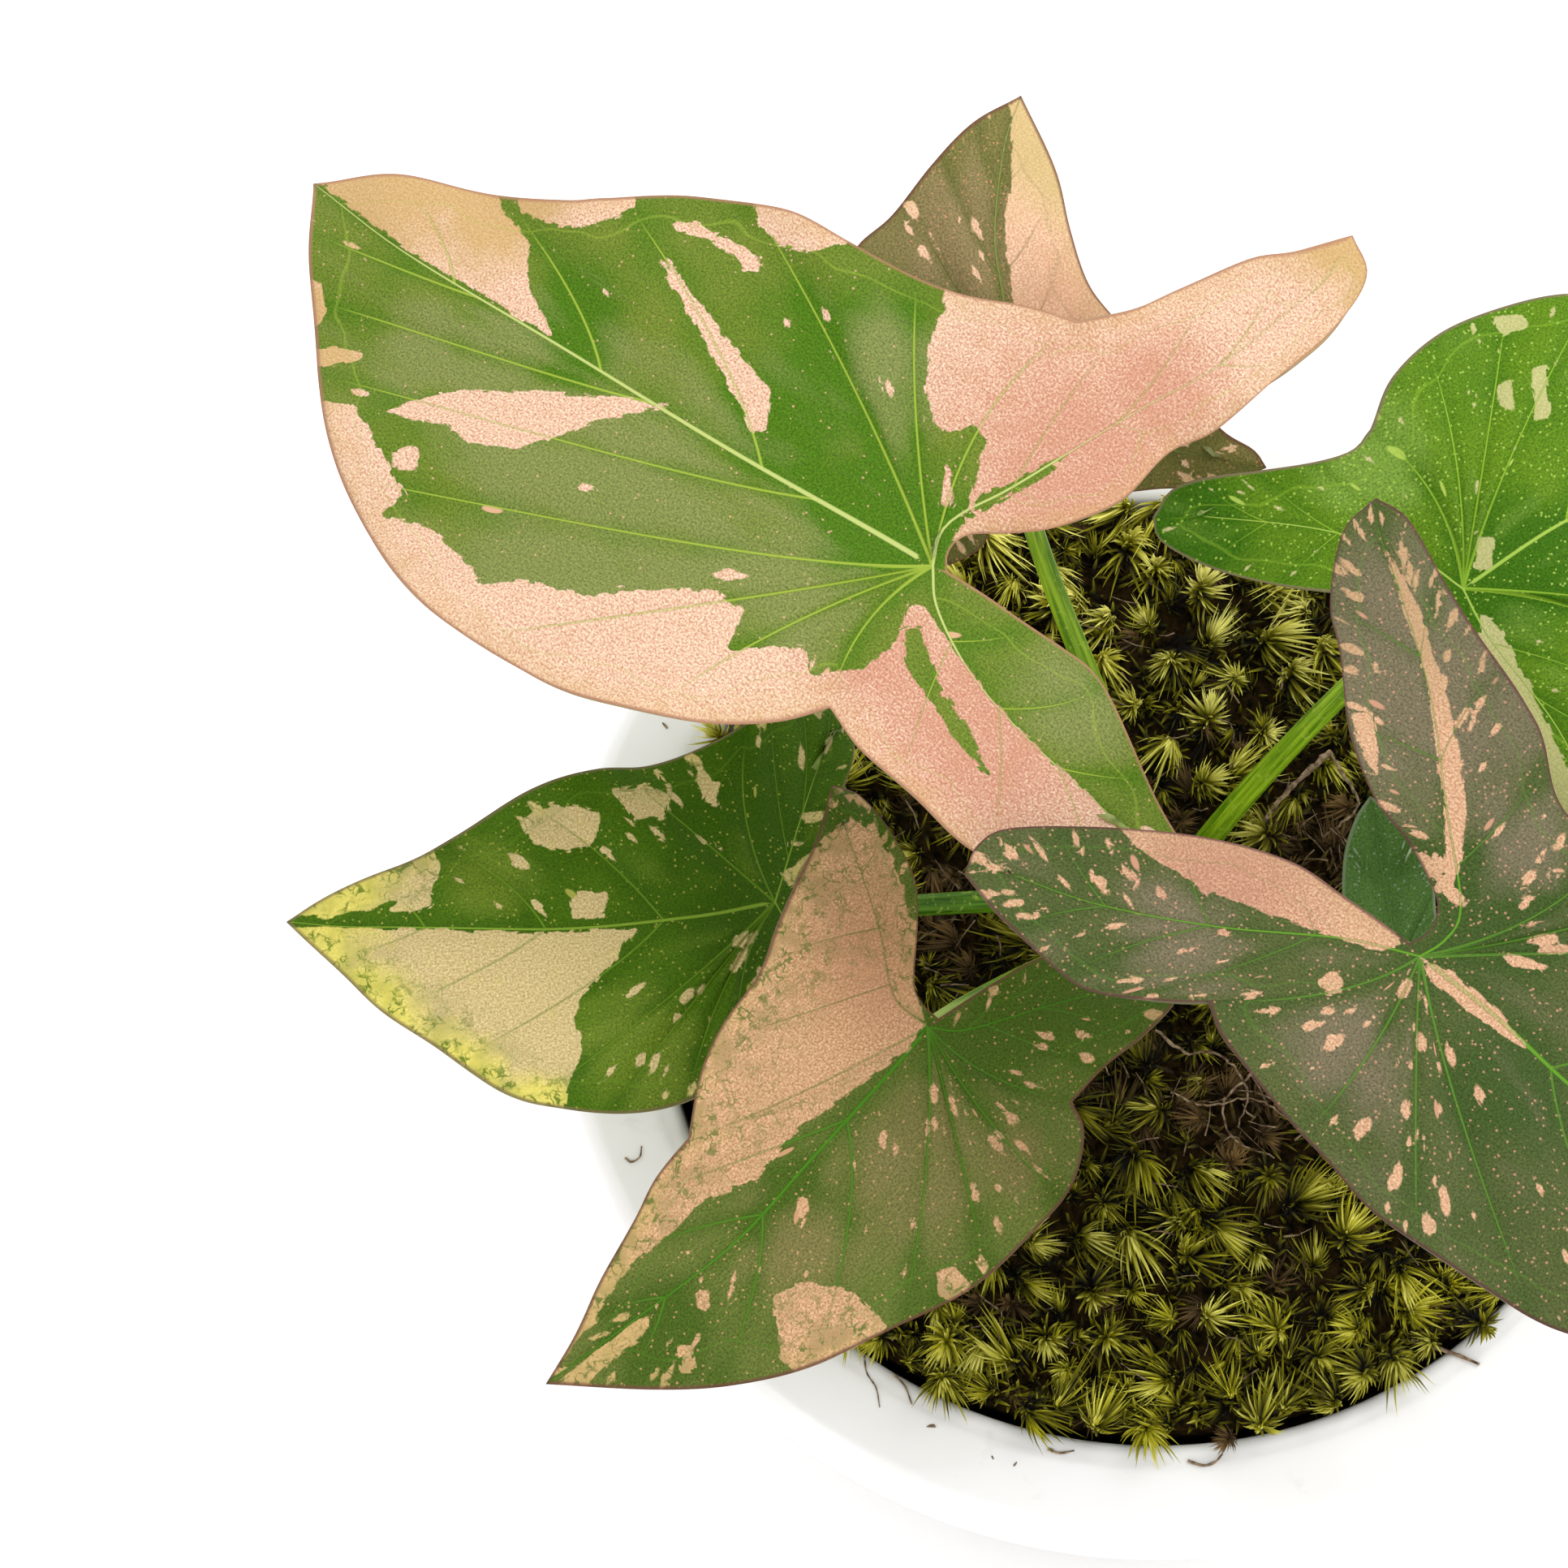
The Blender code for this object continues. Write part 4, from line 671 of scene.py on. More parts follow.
def waxy_leaf_skin(key):
    """Living leaf skin under a thin wax: green cells, pale ones without green in jagged
    patches, dashes and specks, fine veins, and a soft broad shine on a quilted surface.
    On the green flesh the shine is partly a painted sheen, and the vein grooves are
    painted darker as painted shade."""
    look = LEAF_LOOKS[key]
    material, tree, shader = new_finish(f"waxy_leaf_skin_{key}", 0.46, 1.42, 0.12)
    reads = {name: read_vector(tree, name) for name in
             ("leaf_place", "leaf_marks", "leaf_tint_and_sheen", "leaf_veins", "leaf_flow")}
    place, _, _, under = reads["leaf_place"]
    cloud = noise(tree, place, 0.45, 3.0)
    grain = noise(tree, place, 3.8, 3.0, 0.75)
    mottle = mapped(tree, grain, 0.36, 0.64)
    fleshed = patch_share(tree, look, reads, cloud)
    skin = mixed(tree, fleshed, green_flesh(tree, look, reads, mottle),
                 pale_flesh(tree, look, reads, mottle, cloud))

    # Veins are drawn fainter where the flesh is pale.
    vein = vein_share(tree, reads)
    in_rib = mapped(tree, reads["leaf_veins"][3], 1.25, 0.7)
    for line, strong, faint, colour in ((vein, 0.85, 0.45, "vein"), (in_rib, 0.9, 0.4, "rib")):
        ink = maths(tree, "MULTIPLY", line, mapped(tree, fleshed, 0.0, 1.0, strong, faint))
        skin = mixed(tree, ink, skin, look[colour])
    on_lip = mapped(tree, reads["leaf_flow"][3], 0.40, 0.15, 0.0, 0.8)
    skin = mixed(tree, on_lip, skin, look["lip"])
    skin = mixed(tree, maths(tree, "MULTIPLY", under, 0.6), skin, look["under"])
    tree.links.new(skin, shader.inputs["Base Color"])

    # Wax wears thin over the grain, so the shine breaks up a little.
    wax = mapped(tree, grain, 0.3, 0.7, 0.40, 0.58)
    tree.links.new(wax, shader.inputs["Roughness"])
    emboss(tree, shader, leaf_relief(tree, reads, grain, vein, in_rib), MM, 0.8)
    return material


def juicy_stalk_skin(name, flesh, fibres):
    """Living stalk skin, wet green with fibres that show as lengthwise light streaks."""
    material, tree, shader = new_finish(name, 0.34, 1.42, 0.25)
    place, _, _, along = read_vector(tree, "stalk_place")
    # Fibres are about 0.3 mm apart and tens of millimetres long.
    drawn_out = add(tree, "ShaderNodeMapping", {0: place, 3: (1.0, 1.0, 0.03)},
                    vector_type="POINT").outputs[0]
    fibre = noise(tree, drawn_out, 1.9, 4.0, 0.7)
    skin = mixed(tree, mapped(tree, fibre, 0.38, 0.64), flesh, fibres)
    dab = mapped(tree, noise(tree, place, 1.4, 3.0), 0.60, 0.74, 0.0, 0.5)
    skin = mixed(tree, dab, skin, "#bccd5c")
    # The last centimetre under the blade pales, and the foot turns brown.
    neck = add(tree, "ShaderNodeAttribute", attribute_name="stalk_neck").outputs["Fac"]
    skin = mixed(tree, neck, skin, "#b3cb68")
    skin = mixed(tree, mapped(tree, along, 26.0, 14.0, 0.0, 0.5), skin, "#7a6a3a")
    tree.links.new(skin, shader.inputs["Base Color"])
    emboss(tree, shader, fibre, 0.12 * MM, 0.8)
    return material


def damp_moss_leaf():
    """Thin moss leaves: dull, near black at the stem, olive, then lime at their tips."""
    material, tree, shader = new_finish("damp_moss_leaf", 0.62, 1.40, 0.20)
    _, light, tone, dead = read_vector(tree, "moss_look")
    leaf = mixed(tree, mapped(tree, light, 0.14, 0.54), "#070500", "#8d880a")
    tip = mixed(tree, tone, "#c3bc1e", "#fff98c")
    leaf = mixed(tree, mapped(tree, light, 0.45, 0.95), leaf, tip)
    leaf = mixed(tree, dead, leaf, mixed(tree, light, "#241a0c", "#8f7040"))
    # Uneven growth: brighter and browner clumps one to two centimetres across.
    amount = mapped(tree, noise(tree, position(tree), 70.0, 3.0), 0.35, 0.65, 0.72, 1.15)
    leaf = add(tree, "ShaderNodeVectorMath", {0: leaf, 3: amount}, operation="SCALE").outputs[0]
    tree.links.new(leaf, shader.inputs["Base Color"])
    return material


def moss_litter():
    """Dead brown moss, earth and roots between the living shoots, matt and crumbly."""
    material, tree, shader = new_finish("moss_litter", 0.92, 1.40, 0.10)
    at = position(tree)
    crumb = noise(tree, at, 900.0, 4.0)
    clump = add(tree, "ShaderNodeTexVoronoi", {"Vector": at, "Scale": 480.0}).outputs["Distance"]
    earth = mixed(tree, mapped(tree, crumb, 0.35, 0.68), "#0d0a04", "#38290f")
    tree.links.new(earth, shader.inputs["Base Color"])
    emboss(tree, shader, maths(tree, "ADD", clump, crumb), 0.8 * MM)
    return material


def potting_soil():
    """Peat with bark crumbs a millimetre or two wide, matt and nearly black."""
    material, tree, shader = new_finish("potting_soil", 0.95, 1.40)
    at = position(tree)
    crumbs, tint = cells(tree, at, 620.0, 0)
    shade = mixed(tree, tint, "#1a120b", "#4d3823")
    shade = mixed(tree, 0.4, shade, noise(tree, at, 1800.0, 3.0), "OVERLAY")
    tree.links.new(shade, shader.inputs["Base Color"])
    emboss(tree, shader, crumbs, 1.2 * MM)
    return material


def white_glaze():
    """Stoneware under a thick white glaze: a sharp wet shine over faint pools and
    ripples, with pinhead specks of iron and a little earth wiped along the rim."""
    material, tree, shader = new_finish("white_glazed_stoneware", 0.14, 1.52)
    at = position(tree)
    pool = mapped(tree, noise(tree, at, 38.0, 3.0), 0.3, 0.7)
    glaze = mixed(tree, pool, "#f4f2ef", "#fcfbfa")
    iron = dotted(tree, at, 130.0, 0, 0.88, (0.0, 0.07), 0.02, 0.55)
    glaze = mixed(tree, iron, glaze, "#6b5b48")
    smear = mapped(tree, noise(tree, at, 95.0, 6.0, 0.65), 0.60, 0.80, 0.0, 0.30)
    height = add(tree, "ShaderNodeSeparateXYZ", {0: at}).outputs[2]
    near_rim = mapped(tree, height, (POT_HEIGHT - 14.0) * MM, POT_HEIGHT * MM)
    dirt = maths(tree, "MULTIPLY", smear, near_rim)
    glaze = mixed(tree, dirt, glaze, "#a3937b")
    # The body below the rim turns a greyer white over its first 9 mm down.
    under_rim = POT_HEIGHT - RIM_DEPTH
    below = mapped(tree, height, under_rim * MM, (under_rim - 9.0) * MM)
    glaze = mixed(tree, below, glaze, "#dcd8d1")
    tree.links.new(glaze, shader.inputs["Base Color"])
    worn = mapped(tree, dirt, 0.0, 0.3, 0.13, 0.45)
    tree.links.new(worn, shader.inputs["Roughness"])
    emboss(tree, shader, noise(tree, at, 160.0, 2.0), 0.25 * MM, 0.35)
    return material


def dry_bark():
    """Dead stem and bark, grey-brown and matt, with fibres along it."""
    material, tree, shader = new_finish("dry_bark", 0.85, 1.40)
    fibre = noise(tree, position(tree), 1400.0, 4.0)
    bark = mixed(tree, mapped(tree, fibre, 0.35, 0.65), "#4a3220", "#a08a6c")
    tree.links.new(bark, shader.inputs["Base Color"])
    emboss(tree, shader, fibre, 0.15 * MM)
    return material


def white_paper():
    """Matt white paper for the studio floor, bright enough to drown soft shadows."""
    material, tree, shader = new_finish("white_paper_floor", 0.9, 1.45)
    paper = mixed(tree, noise(tree, position(tree), 30.0, 2.0), "#fbfbfb", "#fefefe")
    tree.links.new(paper, shader.inputs["Base Color"])
    return material


# Meshes.

def link_object(name, data):
    """Put an object in the scene."""
    obj = bpy.data.objects.new(name, data)
    bpy.context.scene.collection.objects.link(obj)
    return obj


def link_piece(name, data, material, node=None):
    """Put a mesh or a curve in the scene as a piece of the plant."""
    obj = link_object(name, data)
    data.materials.append(material)
    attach(obj, BODY)
    if node:
        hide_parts(node)
    return obj


def mesh_from_bmesh(name, bm):
    """Turn a bmesh into a mesh."""
    mesh = bpy.data.meshes.new(name)
    bm.to_mesh(mesh)
    bm.free()
    return mesh


def mesh_from_arrays(name, points, triangles):
    """Make a smooth mesh in metres from arrays in millimetres."""
    mesh = bpy.data.meshes.new(name)
    mesh.from_pydata((np.asarray(points) * MM).tolist(), [], np.asarray(triangles).tolist())
    mesh.shade_smooth()
    return mesh


def polar(radius, angle):
    """Place in plan at a distance and a turn in radians round the Z axis."""
    return radius * math.cos(angle), radius * math.sin(angle)


def heading_at(lift, turn):
    """Direction at a rise and a turn in radians."""
    return Vector((math.cos(lift) * math.cos(turn), math.cos(lift) * math.sin(turn),
                   math.sin(lift)))


def store(mesh, name, values, domain="POINT"):
    """Keep one number or vector for every point or corner, for the material to read."""
    values = np.asarray(values, dtype=np.float32)
    kind, field = ("FLOAT", "value") if values.ndim == 1 else ("FLOAT_VECTOR", "vector")
    layer = mesh.attributes.new(name, kind, domain)
    layer.data.foreach_set(field, values.ravel())


# Leaves.

def smooth_line(points, count):
    """Points at equal steps along a smooth curve through the given ones."""
    points = np.array(points, dtype=float)
    before = 2 * points[0] - points[1]
    after = 2 * points[-1] - points[-2]
    padded = np.vstack([before, points, after])
    pieces = []
    for i in range(1, len(padded) - 2):
        p0, p1, p2, p3 = padded[i - 1:i + 3]
        t = np.linspace(0.0, 1.0, 24, endpoint=False)[:, None]
        pieces.append(p1 + 0.5 * t * (p2 - p0) + t ** 2 * (p0 - 2.5 * p1 + 2 * p2 - 0.5 * p3)
                      + t ** 3 * (1.5 * (p1 - p2) + 0.5 * (p3 - p0)))
    line = np.vstack(pieces + [points[-1:]])
    return resample(line, np.linspace(0.0, 1.0, count))


def resample(line, shares):
    """Points at the given shares of a line's length."""
    steps = np.linalg.norm(np.diff(line, axis=0), axis=1)
    along = np.concatenate([[0.0], np.cumsum(steps)])
    along /= along[-1]
    return np.stack([np.interp(shares, along, line[:, k]) for k in range(2)], axis=1)


def line_length(line):
    """Length of a line of points."""
    return np.linalg.norm(np.diff(line, axis=0), axis=1).sum()


def side_runs(leaf, side):
    """Margin and rib lines of the three runs along one side of a leaf."""
    tip = (leaf["length"], 0.0)
    joint = (0.0, 0.0)
    shape = leaf[side]
    midrib = smooth_line([joint] + leaf["midrib"] + [tip], 200)[::-1]
    spine = smooth_line([joint] + shape["spine"], 200)
    blade = smooth_line([tip] + shape["blade"], 400)
    outer = smooth_line([shape["blade"][-1]] + shape["outer"], 200)
    inner = smooth_line([shape["outer"][-1]] + shape["inner"] + [leaf["sinus"]], 200)
    return [(blade, midrib), (outer, spine), (inner, spine[::-1])]


def side_columns(leaf, side):
    """Foot, margin point, vein phase and boldness, puff, bow and way round of fine columns."""
    shape = leaf[side]
    vein_places = sorted({0.0, *shape["veins"], *shape.get("fan", ()), 1.0})
    known = [0.0, *shape["veins"], 1.01]
    feet = [0.0, *shape["feet"], 1.0]
    columns = []
    start = 0.0
    phase = 0.0
    for number, (margin, rib) in enumerate(side_runs(leaf, side)):
        length = line_length(margin)
        places = np.linspace(0.0, 1.0, max(8, int(length / COLUMN_STEP)) + 1)
        if number == 0:
            foot_places = np.interp(places, known, feet)
            phases = np.interp(places, vein_places, np.arange(len(vein_places)))
        else:
            places = places[1:]
            foot_places = places
            phases = phase + places * LOBE_VEINS
        bold, puff = (1.0, PUFF) if number == 0 else (LOBE_VEIN_BOLDNESS, LOBE_PUFF)
        bow = np.interp(places, *COLUMN_BOWS[number])
        columns.append(np.column_stack([
            resample(rib, foot_places), resample(margin, places), phases,
            np.full(len(places), bold), np.full(len(places), puff), bow,
            start + places * length]))
        start += length
        phase = phases[-1]
    return np.vstack(columns), start


def blade_height(leaf, u, v):
    """Height of a leaf's blade over its own plane, without swells and waves."""
    share = u / leaf["length"]
    drop = np.where(share > 0, 4 * leaf["rise"], leaf["lobe_drop"])
    arch = 4 * leaf["rise"] * share - drop * share ** 2
    fold = leaf["fold"] * (np.sqrt(v * v + FOLD_SOFTNESS ** 2) - FOLD_SOFTNESS)
    return arch + fold - leaf["curl"] * 0.001 * v * v


def leaf_frame(leaf):
    """Matrix that turns a leaf's plane into the frame's axes."""
    turn = Matrix.Rotation(math.radians(leaf["yaw"]), 3, "Z")
    turn = turn @ Matrix.Rotation(-math.radians(leaf["pitch"]), 3, "Y")
    return turn @ Matrix.Rotation(math.radians(leaf["roll"]), 3, "X")


def segment_gap(points, a, b):
    """Distance to the segment from a to b, and the share of the way along it."""
    way = b - a
    share = np.clip((points - a) @ way / (way @ way), 0.0, 1.0)
    return np.linalg.norm(points - a - share[:, None] * way, axis=1), share


def line_nearness(points, line, wide, narrow):
    """Distance to a rib over the rib's half width, which tapers from its start."""
    nearest = np.full(len(points), FAR)
    halves = np.linspace(wide, narrow, len(line))
    for a, b, half_a, half_b in zip(line, line[1:], halves, halves[1:]):
        gap, share = segment_gap(points, a, b)
        nearest = np.minimum(nearest, gap / (half_a + (half_b - half_a) * share))
    return nearest


def inside_distance(points, outline):
    """Distance in millimetres to a closed outline, positive inside it."""
    corners = np.array(outline, dtype=float)
    nearest = np.full(len(points), FAR)
    inside = np.zeros(len(points), dtype=bool)
    for a, b in zip(corners, np.roll(corners, -1, axis=0)):
        nearest = np.minimum(nearest, segment_gap(points, a, b)[0])
        way = b - a
        if way[1]:
            crossing = (a[1] > points[:, 1]) != (b[1] > points[:, 1])
            inside ^= crossing & (points[:, 0] < a[0] + (points[:, 1] - a[1]) * way[0] / way[1])
    return np.where(inside, nearest, -nearest)


def wavy_height(leaf, columns, total, u, v, row):
    """Height of a blade over its plane, with the waves of its margin and the swells
    between its veins."""
    foot, rim = columns[:, 0:2], columns[:, 2:4]
    phase, puff, along = (columns[:, None, k] for k in (4, 6, 8))
    reach = np.linalg.norm(rim - foot, axis=1)[:, None]
    ends = np.minimum(1.0, np.minimum(along / CALM_LENGTH, (total - along) / CALM_LENGTH))
    wave = leaf["wave"] * ends * row ** 2 * np.sin(2 * math.pi * along / WAVE_LENGTH)
    swell = puff * np.abs(np.sin(math.pi * phase)) * np.minimum(1.0, reach / CALM_LENGTH)
    return blade_height(leaf, u, v) + wave + swell * np.sin(math.pi * row)


def vein_spacing(plan, phase):
    """Spacing of the side veins at each point, measured square to them."""
    across = np.gradient(plan, axis=0) / np.gradient(phase, axis=0)[..., None]
    onward = np.gradient(plan, axis=1)
    onward /= np.linalg.norm(onward, axis=2, keepdims=True) + TINY
    return np.abs(across[..., 0] * onward[..., 1] - across[..., 1] * onward[..., 0])


def margin_distance(columns, reach, row):
    """Distance to the margin at each point, measured square to it."""
    heading = np.gradient(columns[:, 2:4], axis=0)
    heading /= np.linalg.norm(heading, axis=1, keepdims=True) + TINY
    spoke = (columns[:, 2:4] - columns[:, 0:2]) / (reach + TINY)
    slant = np.abs(heading[:, 0] * spoke[:, 1] - heading[:, 1] * spoke[:, 0])
    return (1 - row) * reach * np.maximum(slant, LEAST_SLANT)[:, None]


def side_grid(leaf, side):
    """Grid of points over one side of a blade, and what its skin reads at each."""
    columns, total = side_columns(leaf, side)
    foot, rim = columns[:, None, 0:2], columns[:, None, 2:4]
    phase, bold, bow = (columns[:, None, k] for k in (4, 5, 7))
    row = np.linspace(0.0, 1.0, leaf["rows"] + 1)[None, :]
    reach = np.linalg.norm(rim - foot, axis=2)
    flat = foot + (rim - foot) * row[..., None]
    u = flat[..., 0] - 4 * row * (1 - row) * bow * reach
    v = flat[..., 1]
    plan = np.stack([u, v], axis=2)
    gap = vein_spacing(plan, phase)

    flat_plan = plan.reshape(-1, 2)
    big = leaf["length"] / LARGEST_LEAF
    (_, midrib), (_, spine), _ = side_runs(leaf, side)
    ribs = [line_nearness(flat_plan, midrib[::5][::-1], 0.10 + 0.20 * big, 0.06),
            line_nearness(flat_plan, spine[::5], 0.06 + 0.10 * big, 0.05)]
    half_vein = bold * (0.08 + 0.07 * big) * (1.0 - 0.45 * row)
    step = np.linalg.norm(np.diff(plan[:, int(0.7 * leaf["rows"])], axis=0), axis=1)
    way_round = np.concatenate([[0.0], np.cumsum(step)])[:, None]
    looks = dict(
        plan=flat_plan,
        height=wavy_height(leaf, columns, total, u, v, row).ravel(),
        veins=np.column_stack([np.broadcast_to(phase, gap.shape).ravel(),
                               (gap / half_vein).ravel(), np.minimum(*ribs)]),
        flow=np.column_stack([np.broadcast_to(way_round, gap.shape).ravel(),
                              (row * reach).ravel(),
                              margin_distance(columns, reach, row).ravel()]))
    return looks, (len(columns), leaf["rows"] + 1)


def fleck_distance(plan, spots):
    """Distance to the nearest of some long dashes, positive inside them."""
    nearest = np.full(len(plan), OUTSIDE)
    for centre, heading, long_half, short_half in spots:
        local = plan - centre
        along = local @ heading
        beside = local @ np.array([-heading[1], heading[0]])
        size = np.sqrt((along / long_half) ** 2 + (beside / short_half) ** 2)
        nearest = np.maximum(nearest, (1.0 - size) * short_half)
    return nearest


def dash_spots(key, grids):
    """Seeded places for the larger dashes, each laid along the vein beside it."""
    draw = random.Random("dashes_" + key)
    count, longest = MARKS[key]["flecks"]
    spots = []
    for _ in range(count):
        looks, (columns, rows) = grids[draw.randrange(2)]
        plan = looks["plan"].reshape(columns, rows, 2)
        i = draw.randrange(2, columns - 2)
        j = min(rows - 2, 2 + int((rows - 4) * math.sqrt(draw.random())))
        heading = plan[i, j + 1] - plan[i, j - 1]
        heading = heading / (np.linalg.norm(heading) + TINY)
        long_half = longest * draw.uniform(0.45, 1.0) ** 2 * 1.6
        spots.append((plan[i, j], heading, long_half, long_half * draw.uniform(0.22, 0.5)))
    return spots


def spot_share(plan, spots):
    """How far each point is inside some soft round spots, from 0 to 1."""
    share = np.zeros(len(plan))
    for centre, radius in spots:
        away = np.linalg.norm(plan - np.array(centre, dtype=float), axis=1)
        share = np.maximum(share, np.clip(1.4 - away / radius, 0.0, 1.0))
    return share


def leaf_marks(key, plan, spots):
    """Distance into the pale patches and dashes, and how warm the pale flesh is."""
    marks = MARKS[key]
    patch = np.full(len(plan), OUTSIDE)
    for outline in marks["pale"]:
        patch = np.maximum(patch, inside_distance(plan, outline))
    for outline in marks["green"]:
        patch = np.minimum(patch, -inside_distance(plan, outline))
    return np.column_stack([np.clip(patch, OUTSIDE, -OUTSIDE), fleck_distance(plan, spots),
                            spot_share(plan, marks["warm"])])


def grid_triangles(columns, rows, start, flip):
    """Two triangles for each cell of a grid of points."""
    index = start + np.arange(columns * rows).reshape(columns, rows)
    a, b = index[:-1, :-1].ravel(), index[:-1, 1:].ravel()
    c, d = index[1:, 1:].ravel(), index[1:, :-1].ravel()
    faces = np.vstack([np.column_stack([a, b, c]), np.column_stack([a, c, d])])
    return faces if flip else faces[:, ::-1]


def point_normals(points, triangles):
    """Smooth normal at each point of a sheet of triangles."""
    corners = points[triangles]
    faces = np.cross(corners[:, 1] - corners[:, 0], corners[:, 2] - corners[:, 0])
    normals = np.zeros_like(points)
    for k in range(3):
        np.add.at(normals, triangles[:, k], faces)
    return normals / (np.linalg.norm(normals, axis=1, keepdims=True) + 1e-12)


def sheet_and_edge(grids):
    """Triangles over both sides of a blade, and the pairs of points along its margin."""
    sheets = []
    edges = []
    start = 0
    for number, (_, (columns, rows)) in enumerate(grids):
        sheets.append(grid_triangles(columns, rows, start, number == 0))
        margin = start + np.arange(columns) * rows + rows - 1
        edges.append(np.column_stack([margin[:-1], margin[1:]])[:, ::1 if number else -1])
        start += columns * rows
    return np.vstack(sheets), np.vstack(edges)


def weld(points, faces):
    """Make points that meet into one: the first of each, the new number of every point,
    the triangles that are still whole, and the same with their new numbers."""
    _, first, welded = np.unique(np.round(points / WELD_STEP), axis=0, return_index=True,
                                 return_inverse=True)
    welded = welded.ravel()
    joined = welded[faces]
    whole = ((joined[:, 0] != joined[:, 1]) & (joined[:, 1] != joined[:, 2])
             & (joined[:, 0] != joined[:, 2]))
    return first, welded, faces[whole], joined[whole]


def underside(points, triangles, rib, lip):
    """Lower face of a blade: thin at its margin, with a keel under its ribs."""
    inland = np.clip(lip / 6.0, 0.0, 1.0)
    thick = MARGIN_THICKNESS + (BLADE_THICKNESS - MARGIN_THICKNESS) * inland
    keel = 0.45 * np.exp(-(rib / 1.3) ** 2) * np.clip(lip / 4.0, 0.0, 1.0)
    return points - point_normals(points, triangles) * (thick + keel)[:, None]


def make_leaf(key, leaf, material):
    """Build a fine blade: two faces with their veins and markings, and a thin edge."""
    grids = [side_grid(leaf, side) for side in ("left", "right")]
    spots = dash_spots(key, grids)
    plan, height, veins, flow = (np.concatenate([looks[name] for looks, _ in grids])
                                 for name in ("plan", "height", "veins", "flow"))
    # Shares of painted sheen, of darker green and of pinker flesh at each point.
    tint = np.column_stack([spot_share(plan, MARKS[key][name])
                            for name in ("painted_sheen", "deep", "rose")])
    top = np.column_stack([plan, height])
    faces, edge = sheet_and_edge(grids)

    # Points that meet on the midrib and at the joint become one.
    first, welded, faces, joined = weld(top, faces)
    points = top[first]
    bottom = underside(points, joined, veins[first, 2], flow[first, 2])
    count = len(points)
    rim_a = np.column_stack([edge[:, 0], edge[:, 1], edge[:, 1]])
    rim_b = np.column_stack([edge[:, 0], edge[:, 1], edge[:, 0]])
    triangles = np.vstack([joined, joined[:, ::-1] + count, welded[rim_a] + (0, 0, count),
                           welded[rim_b] + (0, count, count)])
    source = np.vstack([faces, faces[:, ::-1], rim_a, rim_b])
    spread = welded[edge[:, 0]] != welded[edge[:, 1]]
    keep = np.concatenate([np.ones(2 * len(faces), dtype=bool), spread, spread])
    triangles, source = triangles[keep], source[keep]

    turn = np.array(leaf_frame(leaf))
    placed = np.vstack([points, bottom]) @ turn.T + np.array(leaf["joint"])
    mesh = mesh_from_arrays(f"leaf_{key}_blade", placed, triangles)
    below = (triangles >= count).astype(float).ravel()
    corner = source.ravel()
    store(mesh, "leaf_place", np.column_stack([plan[corner], below]), "CORNER")
    for name, values in (("leaf_marks", leaf_marks(key, plan, spots)), ("leaf_tint_and_sheen", tint),
                         ("leaf_veins", veins), ("leaf_flow", flow)):
        store(mesh, name, values[corner], "CORNER")
    return link_piece(f"leaf_{key}_blade", mesh, material, f"leaf_{key}")


# Leaf stalks.

def stalk_foot(key):
    """Place in plan where a stalk leaves the soil, on a ring round the crown."""
    x, y = polar(CROWN_RING, math.radians(STALK_FEET[key][0]))
    return CROWN[0] + x, CROWN[1] + y


def stalk_path(key):
    """Centre line and radius of a stalk, from its hole in the soil to its blade, which
    it reaches from behind, through the gap between the lobes."""
    leaf = LEAVES[key]
    _, straight, bow = STALK_FEET[key]
    turn = leaf_frame(leaf)
    foot = stalk_foot(key)
    bottom = Vector((*foot, SOIL_MIDDLE_Z - HOLE_DEPTH + GAP))
    rise = Vector((*foot, MOSS_MIDDLE_Z + straight))
    end = Vector(leaf["joint"]) - turn @ Vector((0.0, 0.0, BLADE_THICKNESS + 3 * GAP))
    reach = (end - rise).length
    lean = (end - rise).normalized()
    upright = Vector((0.0, 0.0, 1.0))
    ahead = upright * bow * reach + lean * 0.12 * reach
    low = interpolate_bezier(bottom, bottom + upright * 4.0, rise - upright * 4.0, rise, 13)
    way = turn @ NECK_WAY
    high = interpolate_bezier(rise, rise + ahead, end - way * NECK_SHARE * reach, end, 61)
    neck = [end + way * step for step in (0.2, 0.4, 0.55)]
    path = list(low) + list(high[1:]) + neck
    radii = [STALK_FOOT_RADIUS] * len(low)
    radii += list(np.linspace(STALK_FOOT_RADIUS, STALK_TOP_RADIUS, len(high))[1:])
    radii += [STALK_TOP_RADIUS * flare for flare in (1.03, 1.05, 1.0)]
    return np.array(path), np.array(radii)


